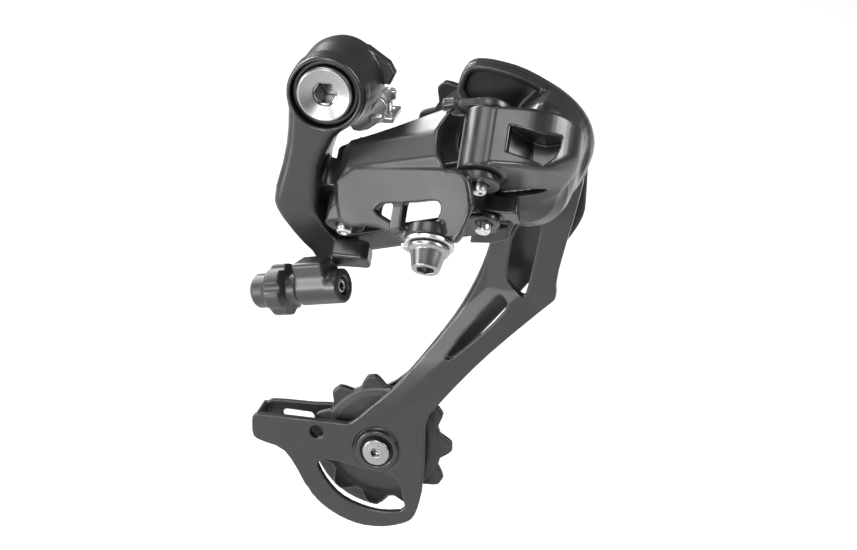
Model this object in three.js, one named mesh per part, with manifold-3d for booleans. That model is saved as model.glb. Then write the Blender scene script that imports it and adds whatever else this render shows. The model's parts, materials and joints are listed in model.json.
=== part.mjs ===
// Rear derailleur of a bicycle: a slant-parallelogram mechanism that hangs on a frame hanger.
// Millimetres, +X forward along the bike, +Y inward towards the wheel, +Z up.
// The origin is on the mounting bolt's axis, at the hanger's outer face (Y = 0).
import * as THREE from 'three';
import { mergeVertices } from 'three/addons/utils/BufferGeometryUtils.js';
import Module from 'manifold-3d';

const wasm = await Module();
wasm.setup();

// ---------- driving dimensions ----------
const DEG = Math.PI / 180;
const GAP = 0.3; // running clearance between neighbouring pieces
const LUG_ROOM = 0.6; // radial clearance around a link's round end
const FIT = 0.2; // clearance of a bolt or an axle in its hole

// Parallelogram: four pins along one slanted direction, between the two knuckles.
const SLANT = 45 * DEG; // lean of the pins from the vertical
const LINK_LENGTH = 48; // between the two pins of a link
const LINK_SPACING = 15; // between the outer and the inner link
const REST_ANGLE = -26 * DEG; // turn of the links at the smallest sprocket
const SWING = 58 * DEG; // travel of the links, smallest to largest sprocket
const REAR_PIN = new THREE.Vector3(6.8, -17, -26.9);
const PIN_R = 2.3;
const PIN_HOLE_R = PIN_R + GAP;
const BOSS_R = 5.5; // knuckle boss on the rear outer pin
const FRONT_BOSS_R = 7.4; // and on the front outer pin
const SMALL_BOSS_R = 4.2; // knuckle bosses on the inner pins
const OUTER_LUG_R = 6;
const INNER_LUG_R = 4.8;
const REAR_BOSS = [-9, 2.7]; // extent of each boss along its pin
const FRONT_BOSS = [-8.6, 11.6];
const REAR_INNER_BOSS = [-14.7, 0.7];
const FRONT_INNER_BOSS = [-14.7, -6.3];
const REAR_LUGS = [[-18, -9.3], [3, 6.5]];
const FRONT_LUGS = [[-11.6, -8.9], [11.9, 14.6]];
const CHANNEL = [-17, 3]; // inner link, outside of its two flanges
const SHEET = 2; // wall of the inner link
const WEB_OUTER = -9; // outer link's web, measured inward from the pins' plane
const WEB_INNER = -6.2;
const APRON_TILT = 20 * DEG; // lean of the outer link's lower plate

// Mounting bolt and the barrel of the rear knuckle, about the Y axis.
const BOLT_R = 5; // M10 thread
const BOLT_FRONT = -27;
const BOLT_HEAD_R = 8.6;
const BARREL_R = 11.5;
const BARREL_BACK_R = 13;
const BARREL_FRONT = -24.5;
const BARREL_BACK = -3.8;
const STOPPER = [-2.4, 0];

// Front knuckle and the pivot of the cage.
const CAGE_PIVOT = [61, -26]; // X, Z of the cage's pivot
const HUB_R = 13;
const HUB_FRONT = -30;
const FLANGE = [-2.6, 2];
const AXLE_R = 4.4;

// Cage: two plates with a pulley at each end.
const OUTER_PLATE = [4, 6.6];
const INNER_PLATE = [17.6, 19.4];
const PULLEY_Y = 12;
const GUIDE = [43, -24];
const TENSION = [8.3, -129.5];
const TEETH = 11;
const TIP_R = 23.2;
const ROOT_R = 19.7;
const PULLEY_BOLT_R = 2.5;
const BUSHING_R = 3.5;
const STOP_PIN = [46.3, -49.6];

// Cable anchor and barrel adjuster.
const ANCHOR = [33.2, -0.2]; // along the link, inward of the pins' plane
const ANCHOR_BOLT_R = 2.5;
const ANCHOR_PAD = [-28, -24]; // extent along the pins' direction
const ANCHOR_WASHER = [-29.7, -28.3];
const ANCHOR_HEAD = [-37.1, -30];
const ADJUSTER_START = new THREE.Vector3(-6.8, -29, -61.5);
const ADJUSTER_AXIS = new THREE.Vector3(0.941, -0.245, 0.232).normalize();
const ADJUSTER_BOSS = 14.5; // length of the housing boss
const ADJUSTER_BOSS_R = 5.3;

// Limit screws lie along local X of the pins' frame, one above the other.
const LIMIT_SCREWS = [[11, -3.4], [11, -10.6]];
const LIMIT_HEAD_X = -18;
const LIMIT_SHANK_R = 1.6;
const LIMIT_SHANK = 12.4; // length of the threaded part
const LIMIT_HEAD_R = 2.7;

// ---------- materials ----------
const finish = (color, roughness, metalness) =>
  new THREE.MeshStandardMaterial({ color, roughness, metalness });
const paintedAlloy = finish(0x2c2c2e, 0.4, 0.5);
const paintedSteel = finish(0x333335, 0.42, 0.5);
const brightSteel = finish(0xbdbec0, 0.25, 1);
const zincSteel = finish(0x909295, 0.38, 0.9);
const springSteel = finish(0x6d7074, 0.35, 0.9);
const blackPlastic = finish(0x1d1d1e, 0.5, 0);
const greyPlastic = finish(0x2a2a2b, 0.55, 0);
const bronze = finish(0x8a7a5c, 0.45, 0.8);

// ---------- solids ----------
// Turns a three.js geometry into a closed solid, faces outward.
function solidFrom(geometry) {
  const bare = geometry.clone();
  for (const name of Object.keys(bare.attributes)) {
    if (name !== 'position') bare.deleteAttribute(name);
  }
  const merged = mergeVertices(bare, 1e-4);
  const points = merged.attributes.position.array;
  const corners = [];
  const corner = [new THREE.Vector3(), new THREE.Vector3(), new THREE.Vector3()];
  let volume = 0;
  for (let i = 0; i < merged.index.count; i += 3) {
    const [a, b, c] = merged.index.array.slice(i, i + 3);
    if (a === b || b === c || c === a) continue;
    corners.push([a, b, c]);
    [a, b, c].forEach((n, k) => corner[k].fromArray(points, 3 * n));
    volume += corner[0].dot(corner[1].clone().cross(corner[2]));
  }
  const triVerts = volume > 0 ? corners.flat() : corners.map(([a, b, c]) => [a, c, b]).flat();
  return new wasm.Manifold(new wasm.Mesh({
    numProp: 3,
    vertProperties: Float32Array.from(points),
    triVerts: Uint32Array.from(triVerts),
  }));
}

const asSolid = (part) => (part instanceof THREE.BufferGeometry ? solidFrom(part) : part);
const join = (...parts) => parts.map(asSolid).reduce((sum, part) => sum.add(part));
const cut = (body, ...tools) => (
  tools.map(asSolid).reduce((rest, tool) => rest.subtract(tool), asSolid(body))
);
const common = (...parts) => parts.map(asSolid).reduce((rest, part) => rest.intersect(part));

const moveSolid = (part, matrix) => asSolid(part).transform(matrix.elements);

function mesh(name, part, material) {
  const { vertProperties, triVerts } = asSolid(part).getMesh();
  const geometry = new THREE.BufferGeometry();
  geometry.setAttribute('position', new THREE.BufferAttribute(Float32Array.from(vertProperties), 3));
  geometry.setIndex(new THREE.BufferAttribute(Uint32Array.from(triVerts), 1));
  geometry.computeVertexNormals();
  const piece = new THREE.Mesh(geometry, material);
  piece.name = name;
  return piece;
}

// ---------- plain shapes ----------
// A closed outline from [x, y] points, with any holes; both are drawn anticlockwise.
function outline(points, holes = []) {
  const turnedLeft = (loop) => {
    const corners = loop.map(([x, y]) => new THREE.Vector2(x, y));
    return THREE.ShapeUtils.isClockWise(corners) ? corners.reverse() : corners;
  };
  const shape = new THREE.Shape(turnedLeft(points));
  shape.holes = holes.map((hole) => new THREE.Path(turnedLeft(hole)));
  return shape;
}

// A slot with round ends between two points.
function slot(r, [x0, y0], [x1, y1]) {
  const along = Math.atan2(y1 - y0, x1 - x0);
  const shape = new THREE.Shape();
  shape.absarc(x1, y1, r, along - Math.PI / 2, along + Math.PI / 2);
  shape.absarc(x0, y0, r, along + Math.PI / 2, along + 1.5 * Math.PI);
  return shape;
}

// A shape drawn in the local XY plane, between two heights along Z.
function slab(shape, z0, z1, curveSegments = 10) {
  const settings = { depth: z1 - z0, bevelEnabled: false, curveSegments };
  return new THREE.ExtrudeGeometry(shape, settings).translate(0, 0, z0);
}

// A shape drawn in the local XZ plane, between two depths along Y.
function plate(shape, y0, y1, curveSegments = 10) {
  return slab(shape, -y1, -y0, curveSegments).rotateX(Math.PI / 2);
}

// A shape drawn in the local YZ plane, between two places along X.
function beam(shape, x0, x1) {
  return slab(shape, x0, x1).rotateZ(Math.PI / 2).rotateY(Math.PI / 2);
}

// A plate in the XZ plane, its edges rounded off by a bevel.
function softPlate(shape, y0, y1, bevel, bevelSegments = 2) {
  const settings = {
    depth: y1 - y0 - 2 * bevel,
    bevelThickness: bevel,
    bevelSize: bevel,
    bevelOffset: -bevel,
    bevelSegments,
    curveSegments: 8,
  };
  return new THREE.ExtrudeGeometry(shape, settings).translate(0, 0, -y1 + bevel).rotateX(Math.PI / 2);
}

// A round bar along local Z.
function rod(r, z0, z1, x = 0, y = 0, sides = 20) {
  const upright = new THREE.CylinderGeometry(r, r, z1 - z0, sides).rotateX(Math.PI / 2);
  return upright.translate(x, y, (z0 + z1) / 2);
}

// A round bar along Y at a place in the XZ plane.
function rodY(r, y0, y1, [x, z] = [0, 0], sides = 24) {
  return new THREE.CylinderGeometry(r, r, y1 - y0, sides).translate(x, (y0 + y1) / 2, z);
}

function box(x, y, z) {
  const [[x0, x1], [y0, y1], [z0, z1]] = [x, y, z];
  const geometry = new THREE.BoxGeometry(x1 - x0, y1 - y0, z1 - z0);
  return geometry.translate((x0 + x1) / 2, (y0 + y1) / 2, (z0 + z1) / 2);
}

// A turned body about Y from [radius, y] points, closed back to its first point.
function turned(points, segments = 28) {
  const profile = [...points, points[0]].map(([r, y]) => new THREE.Vector2(r, y));
  return new THREE.LatheGeometry(profile, segments);
}

// A round bar along local X from x0, at a place in the YZ plane.
function rodX(r, x0, x1, y, z, sides = 16) {
  const lying = new THREE.CylinderGeometry(r, r, x1 - x0, sides).rotateZ(Math.PI / 2);
  return lying.translate((x0 + x1) / 2, y, z);
}

// A hexagonal prism along Y, by its width across flats.
function hexY(acrossFlats, y0, y1) {
  const r = acrossFlats / Math.sqrt(3);
  return new THREE.CylinderGeometry(r, r, y1 - y0, 6).translate(0, (y0 + y1) / 2, 0);
}

class Helix extends THREE.Curve {
  constructor(radius, height, turns) {
    super();
    Object.assign(this, { radius, height, turns });
  }

  getPoint(t) {
    const angle = 2 * Math.PI * this.turns * t;
    const [x, y] = [Math.cos(angle), Math.sin(angle)].map((side) => side * this.radius);
    return new THREE.Vector3(x, y, this.height * t);
  }
}

// A coil spring about local Z.
function coil(radius, wireR, z0, z1, turns) {
  const extrudePath = new Helix(radius, z1 - z0, turns);
  const steps = Math.round(turns * 9);
  const wire = new THREE.Shape();
  wire.absarc(0, 0, wireR, 0, 2 * Math.PI);
  const settings = { steps, curveSegments: 3, bevelEnabled: false, extrudePath };
  return new THREE.ExtrudeGeometry(wire, settings).translate(0, 0, z0);
}

// ---------- the frame of the four slanted pins ----------
// Local X is forward, local Y is inward and down, local Z runs up along the pins.
const forward = new THREE.Vector3(1, 0, 0);
const pinAxis = new THREE.Vector3(0, Math.sin(SLANT), Math.cos(SLANT));
const across = new THREE.Vector3().crossVectors(pinAxis, forward);
const pinFrame = new THREE.Matrix4().makeBasis(forward, across, pinAxis).setPosition(REAR_PIN);
const FRONT = [LINK_LENGTH * Math.cos(REST_ANGLE), LINK_LENGTH * Math.sin(REST_ANGLE)];
const REAR_INNER = [0, LINK_SPACING];
const FRONT_INNER = [FRONT[0], FRONT[1] + LINK_SPACING];
const inPins = (geometry) => geometry.applyMatrix4(pinFrame);

// The space that a link sweeps about a pin, given as solids in the link's own frame.
function sweep(envelope, [x, y], pinAlongLink) {
  const steps = 6;
  const swept = [];
  for (let i = 0; i <= steps; i += 1) {
    const turn = new THREE.Matrix4().makeRotationZ(REST_ANGLE + (SWING * i) / steps);
    for (const piece of envelope) {
      const copy = piece.clone().translate(-pinAlongLink, 0, 0).applyMatrix4(turn).translate(x, y, 0);
      swept.push(inPins(copy));
    }
  }
  return swept;
}

const LONG = LINK_LENGTH;
const outerEnvelope = [
  box([-2.6, 39.2], [WEB_OUTER - 2, WEB_INNER + 0.5], [-30, 15.5]),
  box([-2, LONG], [WEB_OUTER - 1, 4.2], [FRONT_LUGS[1][0] - GAP, FRONT_LUGS[1][1] + 0.8]),
  box([34, LONG], [WEB_OUTER - 2, 4.2], [FRONT_LUGS[0][0] - 0.8, FRONT_LUGS[0][1] + GAP]),
  box([-2, 14], [WEB_OUTER - 2, 4.2], [REAR_LUGS[1][0] - GAP, REAR_LUGS[1][1] + 0.8]),
  box([-2, 14], [WEB_OUTER - 2, 4.2], [REAR_LUGS[0][0] - 0.6, REAR_LUGS[0][1] + GAP]),
];
const innerEnvelope = [
  box([-5.6, LONG + 5.6], [4.3, 7.5], [CHANNEL[0] - 0.4, CHANNEL[1] + 0.4]),
  box([0, LONG], [-5.3, 7.5], [CHANNEL[0] - 0.4, CHANNEL[0] + SHEET + GAP]),
  box([0, LONG], [-5.3, 7.5], [CHANNEL[1] - SHEET - GAP, CHANNEL[1] + 2]),
];

// ---------- hanger side ----------
function mountingBolt() {
  const shoulder = BOLT_FRONT + 5.5;
  const body = turned([
    [0, BOLT_FRONT + 1.6], [3.9, BOLT_FRONT + 1.3], [7.6, BOLT_FRONT], [BOLT_HEAD_R, BOLT_FRONT + 0.8],
    [BOLT_HEAD_R, shoulder], [BOLT_R, shoulder], [BOLT_R, 8.4], [BOLT_R - 0.9, 9.3], [0, 9.3],
  ]);
  return cut(body, hexY(6, BOLT_FRONT - 1, BOLT_FRONT + 5));
}

function stopperPlate() {
  const lobe = outline([
    [9.2, -6.2], [13.6, -9.6], [13.2, -12.6], [9, -18], [3.4, -19.6], [1.4, -16.8], [-4, -10],
  ]);
  const tab = box([8.6, 15.6], [STOPPER[0], 9.6], [-15.9, -13.9]);
  const body = join(rodY(11, ...STOPPER), plate(lobe, ...STOPPER), tab);
  return cut(body, rodY(BOLT_R + GAP, -5, 5), rod(1.75, -20, -5, 12.2, 6, 12));
}

function bTensionScrew() {
  const body = join(rod(1.4, -17.4, -9.6, 0, 0, 12), rod(2.6, -10.6, -7.6, 0, 0, 16));
  return cut(body, box([-0.4, 0.4], [-3, 3], [-8.4, -7]));
}

function circlip() {
  return cut(rodY(7.4, -3.5, -2.7), rodY(BOLT_R + FIT, -5, 0), box([-1.6, 1.6], [-5, 0], [-9, 0]));
}

// ---------- rear knuckle ----------
function rearKnuckle() {
  const barrel = turned([
    [0, BARREL_FRONT], [BARREL_R - 1, BARREL_FRONT], [BARREL_R, BARREL_FRONT + 1.2],
    [BARREL_BACK_R, BARREL_BACK - 6], [BARREL_BACK_R, BARREL_BACK], [0, BARREL_BACK],
  ], 32).translate(0.8, 0, -0.8);
  const tabShape = outline([[9, 9], [15.6, 4.4], [17.4, 1.4], [15.6, -1.6], [11.4, -1]]);
  const stopTab = plate(tabShape, -8, BARREL_BACK);
  const legShape = outline([
    [-12, 1], [-11.5, -7.9], [-12.7, -19.5], [-16.9, -33.9], [-15.4, -38.7], [-9.5, -48.5],
    [-4.9, -53.5], [-5.3, -57.5], [7.5, -53.6], [9, -50.6], [2, -47], [-2.4, -40], [-2.2, -28.5],
    [-1.2, -20.6], [3, -12], [6, -6],
  ]);
  const leg = softPlate(legShape, -27, -8, 1.6, 1);
  const rearWall = [-14.2, 0];
  const outerBridge = box(rearWall, [-BOSS_R, BOSS_R], REAR_BOSS);
  const innerBridge = box(rearWall, [7.2, 14.2], REAR_INNER_BOSS);
  const innerWall = beam(outline([[-4, 4], [18, 4], [18, -20], [7, -20], [-4, -11]]), -15.5, -9);
  const foot = slab(outline([[-4, 4], [6, 5.4], [7.8, 8], [7.8, 16], [-4, 16]]), -27, -19.2);
  const bosses = [
    rod(BOSS_R, ...REAR_BOSS),
    rod(SMALL_BOSS_R, ...REAR_INNER_BOSS, ...REAR_INNER),
    outerBridge,
    innerBridge,
    innerWall,
    foot,
  ];
  const housing = inAdjuster(rodY(ADJUSTER_BOSS_R, 0, ADJUSTER_BOSS));
  const neck = inAdjuster(box([-4, 4.4], [0, ADJUSTER_BOSS], [0, 9]));
  const body = join(barrel, stopTab, leg, ...bosses.map(inPins), housing, neck);
  const chamber = turned([[6.4, -18], [10.4, -18], [10.4, 0], [6.4, 0]]);
  return cut(
    body,
    rodY(BOLT_R + GAP, -30, 5),
    rodY(BOLT_HEAD_R + 1.9, -30, BOLT_FRONT + 4.6),
    rodY(BOLT_HEAD_R + GAP, -30, BOLT_FRONT + 6),
    chamber,
    ...sweep(outerEnvelope, [0, 0], 0),
    ...sweep(innerEnvelope, REAR_INNER, 0),
    inPins(rod(PIN_HOLE_R, -25, 20)),
    inPins(rod(PIN_HOLE_R, -20.8, 5.2, ...REAR_INNER)),
    inPins(rod(OUTER_LUG_R + LUG_ROOM, REAR_LUGS[0][0] - 0.9, REAR_LUGS[0][1] + GAP)),
    inPins(rod(OUTER_LUG_R + LUG_ROOM, REAR_LUGS[1][0] - GAP, REAR_LUGS[1][1] + 2)),
    inPins(rod(INNER_LUG_R + LUG_ROOM, -18.8, CHANNEL[0] + SHEET + GAP, ...REAR_INNER)),
    inPins(rod(INNER_LUG_R + LUG_ROOM, CHANNEL[1] - SHEET - GAP, 5.4, ...REAR_INNER)),
    inAdjuster(rodY(2.7, -5, ADJUSTER_BOSS + 5)),
    ...LIMIT_SCREWS.map(limitScrewHole),
  );
}

// The clearance hole of a limit screw, with the seat of its head.
function limitScrewHole([y, z]) {
  const bore = rodX(LIMIT_SHANK_R + GAP, LIMIT_HEAD_X, LIMIT_HEAD_X + LIMIT_SHANK + GAP, y, z, 12);
  const seat = rodX(LIMIT_HEAD_R + 0.4, LIMIT_HEAD_X - 10, LIMIT_HEAD_X + 1.6, y, z);
  return moveSolid(join(bore, seat), pinFrame);
}

function limitScrew() {
  const shank = rodX(LIMIT_SHANK_R, -0.5, LIMIT_SHANK - 0.5, 0, 0, 12);
  const head = rodX(LIMIT_HEAD_R, -1.7, 0.5, 0, 0);
  const slots = [
    box([-3, -0.9], [-0.35, 0.35], [-1.9, 1.9]),
    box([-3, -0.9], [-1.9, 1.9], [-0.35, 0.35]),
  ];
  return cut(join(shank, head), ...slots);
}

// ---------- barrel adjuster ----------
// Local Y runs along the adjuster's axis, from the knob into the boss.
const upward = new THREE.Vector3(0, 0, 1);
const adjusterSide = new THREE.Vector3().crossVectors(ADJUSTER_AXIS, upward).normalize();
const adjusterMatrix = new THREE.Matrix4().makeBasis(
  adjusterSide,
  ADJUSTER_AXIS,
  new THREE.Vector3().crossVectors(adjusterSide, ADJUSTER_AXIS),
).setPosition(ADJUSTER_START);
const inAdjuster = (geometry) => geometry.applyMatrix4(adjusterMatrix);

function adjusterKnob() {
  const body = turned([
    [0, -16.6], [4.3, -16.6], [5.3, -15.4], [5.3, -11.6], [7.9, -9.4], [7.9, -4.6], [4.9, -3.4],
    [4.6, -0.4], [0, -0.4],
  ], 24);
  const flutes = [0, 1, 2, 3, 4, 5].map((i) => {
    const angle = (i * Math.PI) / 3 + 0.35;
    return rodY(1.9, -13, -3, [8.7 * Math.cos(angle), 8.7 * Math.sin(angle)], 10);
  });
  const cableHole = rodY(1.5, -20, 5, [0, 0], 12);
  const stemHole = rodY(2.7, -12, 5, [0, 0], 16);
  const springSeat = rodY(4, -9.4, 5);
  return cut(body, ...flutes, cableHole, stemHole, springSeat);
}

function adjusterStem() {
  return cut(rodY(2.3, -11.6, ADJUSTER_BOSS - 0.6, [0, 0], 16), rodY(1.2, -20, 20, [0, 0], 10));
}

// ---------- links ----------
function outerLug(x, z0, z1, reach) {
  const arm = outline([[reach, WEB_OUTER], [x, -OUTER_LUG_R], [x, 4], [reach, -2]]);
  return join(rod(OUTER_LUG_R, z0, z1, x, 0), slab(arm, z0, z1));
}

function outerLink() {
  const webShape = outline([
    [0.4, 3.2], [3.6, 5.4], [15, 7], [25, 9.6], [37, 13], [40, 14.6], [38.2, 10], [37.4, 4], [37.8, -3],
    [41, -8.9], [41, -11.6], [1.6, -11.6], [0.6, -4],
  ]);
  const web = plate(webShape, WEB_OUTER, WEB_INNER);
  const ridgeShape = outline([[6, 1], [36.6, 10], [36.8, 1], [35, -4], [14, -4]]);
  const ridge = softPlate(ridgeShape, WEB_OUTER - 1.6, WEB_INNER, 1.2, 1);
  const opening = [
    [15, -9.6], [18, -7.6], [34.6, -8.6], [38.6, -10.4], [38.4, -13.8], [34, -17.6], [26.6, -17],
    [20.8, -13.8],
  ];
  const apronShape = outline([
    [1.4, 5], [43, -0.6], [46.6, -1.8], [48.4, -4], [49.2, -9], [49.4, -13], [46, -19.4], [42.2, -23],
    [27.6, -23], [24.4, -21.6], [23.2, -18.6], [13.4, -12.6], [3.4, -13.4], [0.6, -8],
  ], [opening]);
  const onApron = (geometry) => geometry.rotateX(APRON_TILT).translate(0, WEB_OUTER, -9);
  const apron = onApron(plate(apronShape, 0, 3));
  const rib = box([21.2, 25.2], [-5.4, -2.6], [-25, -12]);
  const pad = rod(7, ...ANCHOR_PAD, ANCHOR[0], ANCHOR[1], 24);
  const lugs = [
    outerLug(0, ...REAR_LUGS[0], 8),
    outerLug(0, ...REAR_LUGS[1], 8),
    outerLug(LONG, ...FRONT_LUGS[0], 37),
    outerLug(LONG, ...FRONT_LUGS[1], 37),
  ];
  const bridge = box([36, 41], [WEB_OUTER, -2.6], FRONT_LUGS[1]);
  const rearJoin = box([1.5, 8], [WEB_OUTER, -3], REAR_LUGS[0]);
  const behindApron = onApron(box([-20, 80], [0, 40], [-40, 40]));
  const inner = common(join(bridge, rearJoin, ...lugs), behindApron);
  const body = join(web, ridge, apron, rib, pad, inner);
  return cut(
    body,
    rod(PIN_HOLE_R, -40, 30),
    rod(PIN_HOLE_R, -40, 30, LONG, 0),
    rod(ANCHOR_BOLT_R + GAP, -50, ANCHOR_PAD[1] - 1, ...ANCHOR),
    rod(BOSS_R + LUG_ROOM, REAR_BOSS[0] - GAP, REAR_BOSS[1] + GAP),
    rod(FRONT_BOSS_R + LUG_ROOM, FRONT_BOSS[0] - GAP, FRONT_BOSS[1] + GAP, LONG, 0),
    box([ANCHOR[0] - 9, ANCHOR[0] + 9], [-12, 12], [-50, ANCHOR_PAD[0]]),
  );
}

function anchorWasher() {
  const body = join(rod(7.4, ...ANCHOR_WASHER, 0, 0, 28), box([-8.6, -5], [-2.6, 2.6], ANCHOR_WASHER));
  return cut(body, rod(ANCHOR_BOLT_R + GAP, -40, -20));
}

function anchorBolt() {
  const [tip, seat] = ANCHOR_HEAD;
  const profile = [[0, tip], [4, tip], [5.2, seat - 2], [6.2, seat - 1.2], [6.2, seat], [0, seat]];
  const head = turned(profile, 28).rotateX(Math.PI / 2);
  const body = join(head, rod(ANCHOR_BOLT_R, seat - 1, ANCHOR_PAD[1] - 1.3));
  return cut(body, hexY(5, tip - 1, tip + 3).rotateX(Math.PI / 2));
}

function innerLink() {
  const flange = slot(INNER_LUG_R, [0, 0], [LONG, 0]);
  const web = box([-1, LONG + 1], [INNER_LUG_R - 0.2, INNER_LUG_R + SHEET - 0.2], CHANNEL);
  const body = join(
    slab(flange, CHANNEL[0], CHANNEL[0] + SHEET),
    slab(flange, CHANNEL[1] - SHEET, CHANNEL[1]),
    web,
  );
  const window = box([3.6, 34], [2, 9], [-12.6, -1.4]);
  return cut(body, rod(PIN_HOLE_R, -40, 30), rod(PIN_HOLE_R, -40, 30, LONG, 0), window);
}

function pin(z0, z1) {
  const rivet = new THREE.SphereGeometry(PIN_R, 16, 8).rotateX(Math.PI / 2).translate(0, 0, z0);
  return join(rod(PIN_R, z0, z1, 0, 0, 16), rivet);
}

function pinClip(z0) {
  const opening = box([-5, 0], [-0.9, 0.9], [z0 - 1, z0 + 2]);
  return cut(rod(4, z0, z0 + 0.7), rod(PIN_R + FIT, z0 - 1, z0 + 2), opening);
}

// ---------- front knuckle ----------
function frontKnuckle() {
  const [px, pz] = CAGE_PIVOT;
  const cowl = outline([
    [36, -4], [36.6, 0], [38.4, 3.9], [41, 5.5], [47.6, 5.2], [54.4, 3.7], [61.7, 0.4], [68, -3.6],
    [72.8, -7.8], [76.2, -13], [77.4, -19.2], [76.2, -24.5], [72, -31], [64.7, -38.4], [58.9, -42.5],
    [54, -44.9], [50, -46], [42.4, -46.4], [42, -42], [47, -36], [46, -24], [42, -12],
  ]);
  const bodyShape = outline([
    [46, -14], [54, -11], [59, -4], [64, -0.6], [68, -1.6], [72, -5], [75.4, -10], [76.6, -16],
    [75.4, -22], [71, -28.4], [65, -34.4], [58.6, -38], [52, -39.6], [47, -38], [44, -30], [43, -20],
  ]);
  const block = slab(outline([
    [43, -28.2], [52, -28.8], [60, -28.2], [66, -25.5], [70, -21], [71, -15], [68, -8], [50, -8],
    [43, -14],
  ]), -8, 11.6);
  // The body narrows in steps towards its outer face: depth from, depth to, size.
  const layers = [[-21, 2, 1], [-25.4, -21, 0.93], [-28, -25.4, 0.84]];
  const body = join(...layers.map(([y0, y1, size]) => {
    const layer = plate(bodyShape, y0, y1).translate(-px, 0, -pz / 2);
    return layer.scale(size, 1, size).translate(px, 0, pz / 2);
  }));
  const hub = turned([
    [0, HUB_FRONT], [5, HUB_FRONT + 0.8], [9.6, HUB_FRONT + 3.6], [HUB_R, HUB_FRONT + 9],
    [HUB_R, FLANGE[1]], [0, FLANGE[1]],
  ], 32).translate(px, 0, pz);
  const lowerLug = plate(outline([[44, -40], [56, -40], [55, -44.6], [50, -46], [43, -46.4]]), -20, 0);
  const bosses = [
    block,
    rod(FRONT_BOSS_R, ...FRONT_BOSS, ...FRONT),
    rod(SMALL_BOSS_R, ...FRONT_INNER_BOSS, ...FRONT_INNER),
    box([FRONT[0], FRONT[0] + 10], [FRONT[1] - 4.5, FRONT[1] + 4.5], FRONT_BOSS),
    box([FRONT[0], FRONT[0] + 10], [FRONT_INNER[1] - 4, FRONT_INNER[1] + 4], FRONT_INNER_BOSS),
  ];
  const outside = box([0, 100], [-40, FLANGE[1]], [-80, 40]);
  const shell = join(common(join(body, hub, lowerLug), outside), plate(cowl, ...FLANGE));
  const solid = join(shell, ...bosses.map(inPins));
  const bore = AXLE_R + 0.4;
  const chamber = turned([[bore, -17], [10.2, -17], [10.2, 5], [0, 5], [0, -22], [bore, -22]]);
  const windowShape = outline([
    [50.9, 5.1], [60.7, 3.1], [66, 4.3], [65.4, 0.6], [64.5, -3], [62.1, -6.2], [50.9, -3.3],
  ]);
  const windowFloor = outline([[50, -40], [67, -40], [67, -25.6], [62, -25], [50, -22.5]]);
  const recess = common(plate(windowShape, -40, -20), slab(windowFloor, -20, 20));
  return cut(
    solid,
    chamber.translate(px, 0, pz),
    moveSolid(recess, pinFrame),
    ...sweep(outerEnvelope, FRONT, LONG),
    ...sweep(innerEnvelope, FRONT_INNER, LONG),
    inPins(rod(PIN_HOLE_R, -40, 19, ...FRONT)),
    inPins(rod(PIN_HOLE_R, -40, 19, ...FRONT_INNER)),
    inPins(rod(OUTER_LUG_R + LUG_ROOM, FRONT_LUGS[0][0] - 8, FRONT_LUGS[0][1] + GAP, ...FRONT)),
    inPins(rod(OUTER_LUG_R + LUG_ROOM, FRONT_LUGS[1][0] - GAP, 18, ...FRONT)),
    inPins(rod(INNER_LUG_R + LUG_ROOM, -26, CHANNEL[0] + SHEET + GAP, ...FRONT_INNER)),
    inPins(rod(INNER_LUG_R + LUG_ROOM, FRONT_INNER_BOSS[1], 6, ...FRONT_INNER)),
  );
}

// ---------- cage ----------
const armOuter = [
  [48.1, -46.4], [46.4, -47.6], [43.3, -62.4], [38.3, -74.4], [31.3, -84.7], [21.1, -98],
  [14.4, -106.6], [7, -113.8], [-1, -121.3], [-28.7, -120.3], [-32.9, -120.6], [-33.4, -122],
  [-33.4, -128], [-31.3, -129.6], [-23.5, -131.6], [-19.7, -136.4], [-14.8, -146.2], [-11.2, -150.4],
  [-6.4, -153.8], [-0.5, -156.4], [5.5, -157.4], [12, -156.8], [18.7, -154.1], [21.2, -151],
  [23.2, -141.8], [24, -127.7], [24, -117.6], [27.6, -112.9], [36.5, -102.1], [46.5, -91.1],
  [65.6, -72.4], [65.7, -65.8], [69, -52.5], [71.2, -44.5], [74.4, -30], [74, -18], [62, -12],
  [48, -34],
];
const upperWindow = [
  [52.1, -50.9], [50.3, -62.9], [50.3, -66.6], [51.8, -69.1], [55.4, -72], [56.4, -71.3], [60.1, -53.7],
  [61.3, -43.8], [57.8, -45.4],
];
const lowerWindow = [
  [47.8, -72.3], [49.4, -73], [51.2, -75.5], [44.5, -84.1], [36.4, -91.8], [31.9, -95.7], [30.8, -95],
  [36.4, -86.4], [45.9, -74.6],
];
const hookSlot = [
  [-12.2, -135.3], [-9.9, -140.6], [-6.3, -145.4], [-2.2, -148.5], [3.8, -150.7], [9.7, -151.6],
  [17.5, -150.5], [16.6, -145], [15.2, -140.4], [12.6, -138], [7.8, -137.4], [2, -136.4], [-8, -134.2],
];

function outerCagePlate() {
  const body = join(
    plate(outline(armOuter, [upperWindow, lowerWindow, hookSlot]), ...OUTER_PLATE),
    plate(slot(9, GUIDE, [CAGE_PIVOT[0] - 4, CAGE_PIVOT[1]]), ...OUTER_PLATE),
    rodY(14, ...OUTER_PLATE, CAGE_PIVOT, 32),
    rodY(7, OUTER_PLATE[0] - 0.8, OUTER_PLATE[1], TENSION, 32),
  );
  return cut(
    body,
    rodY(AXLE_R + FIT, 0, 10, CAGE_PIVOT),
    rodY(PULLEY_BOLT_R + FIT, 0, 10, GUIDE),
    rodY(PULLEY_BOLT_R + FIT, 0, 10, TENSION),
    rodY(2.3, 0, 10, [-11.7, -124.8], 8),
    rodY(1.5, 0, 10, STOP_PIN, 12),
  );
}

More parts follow.
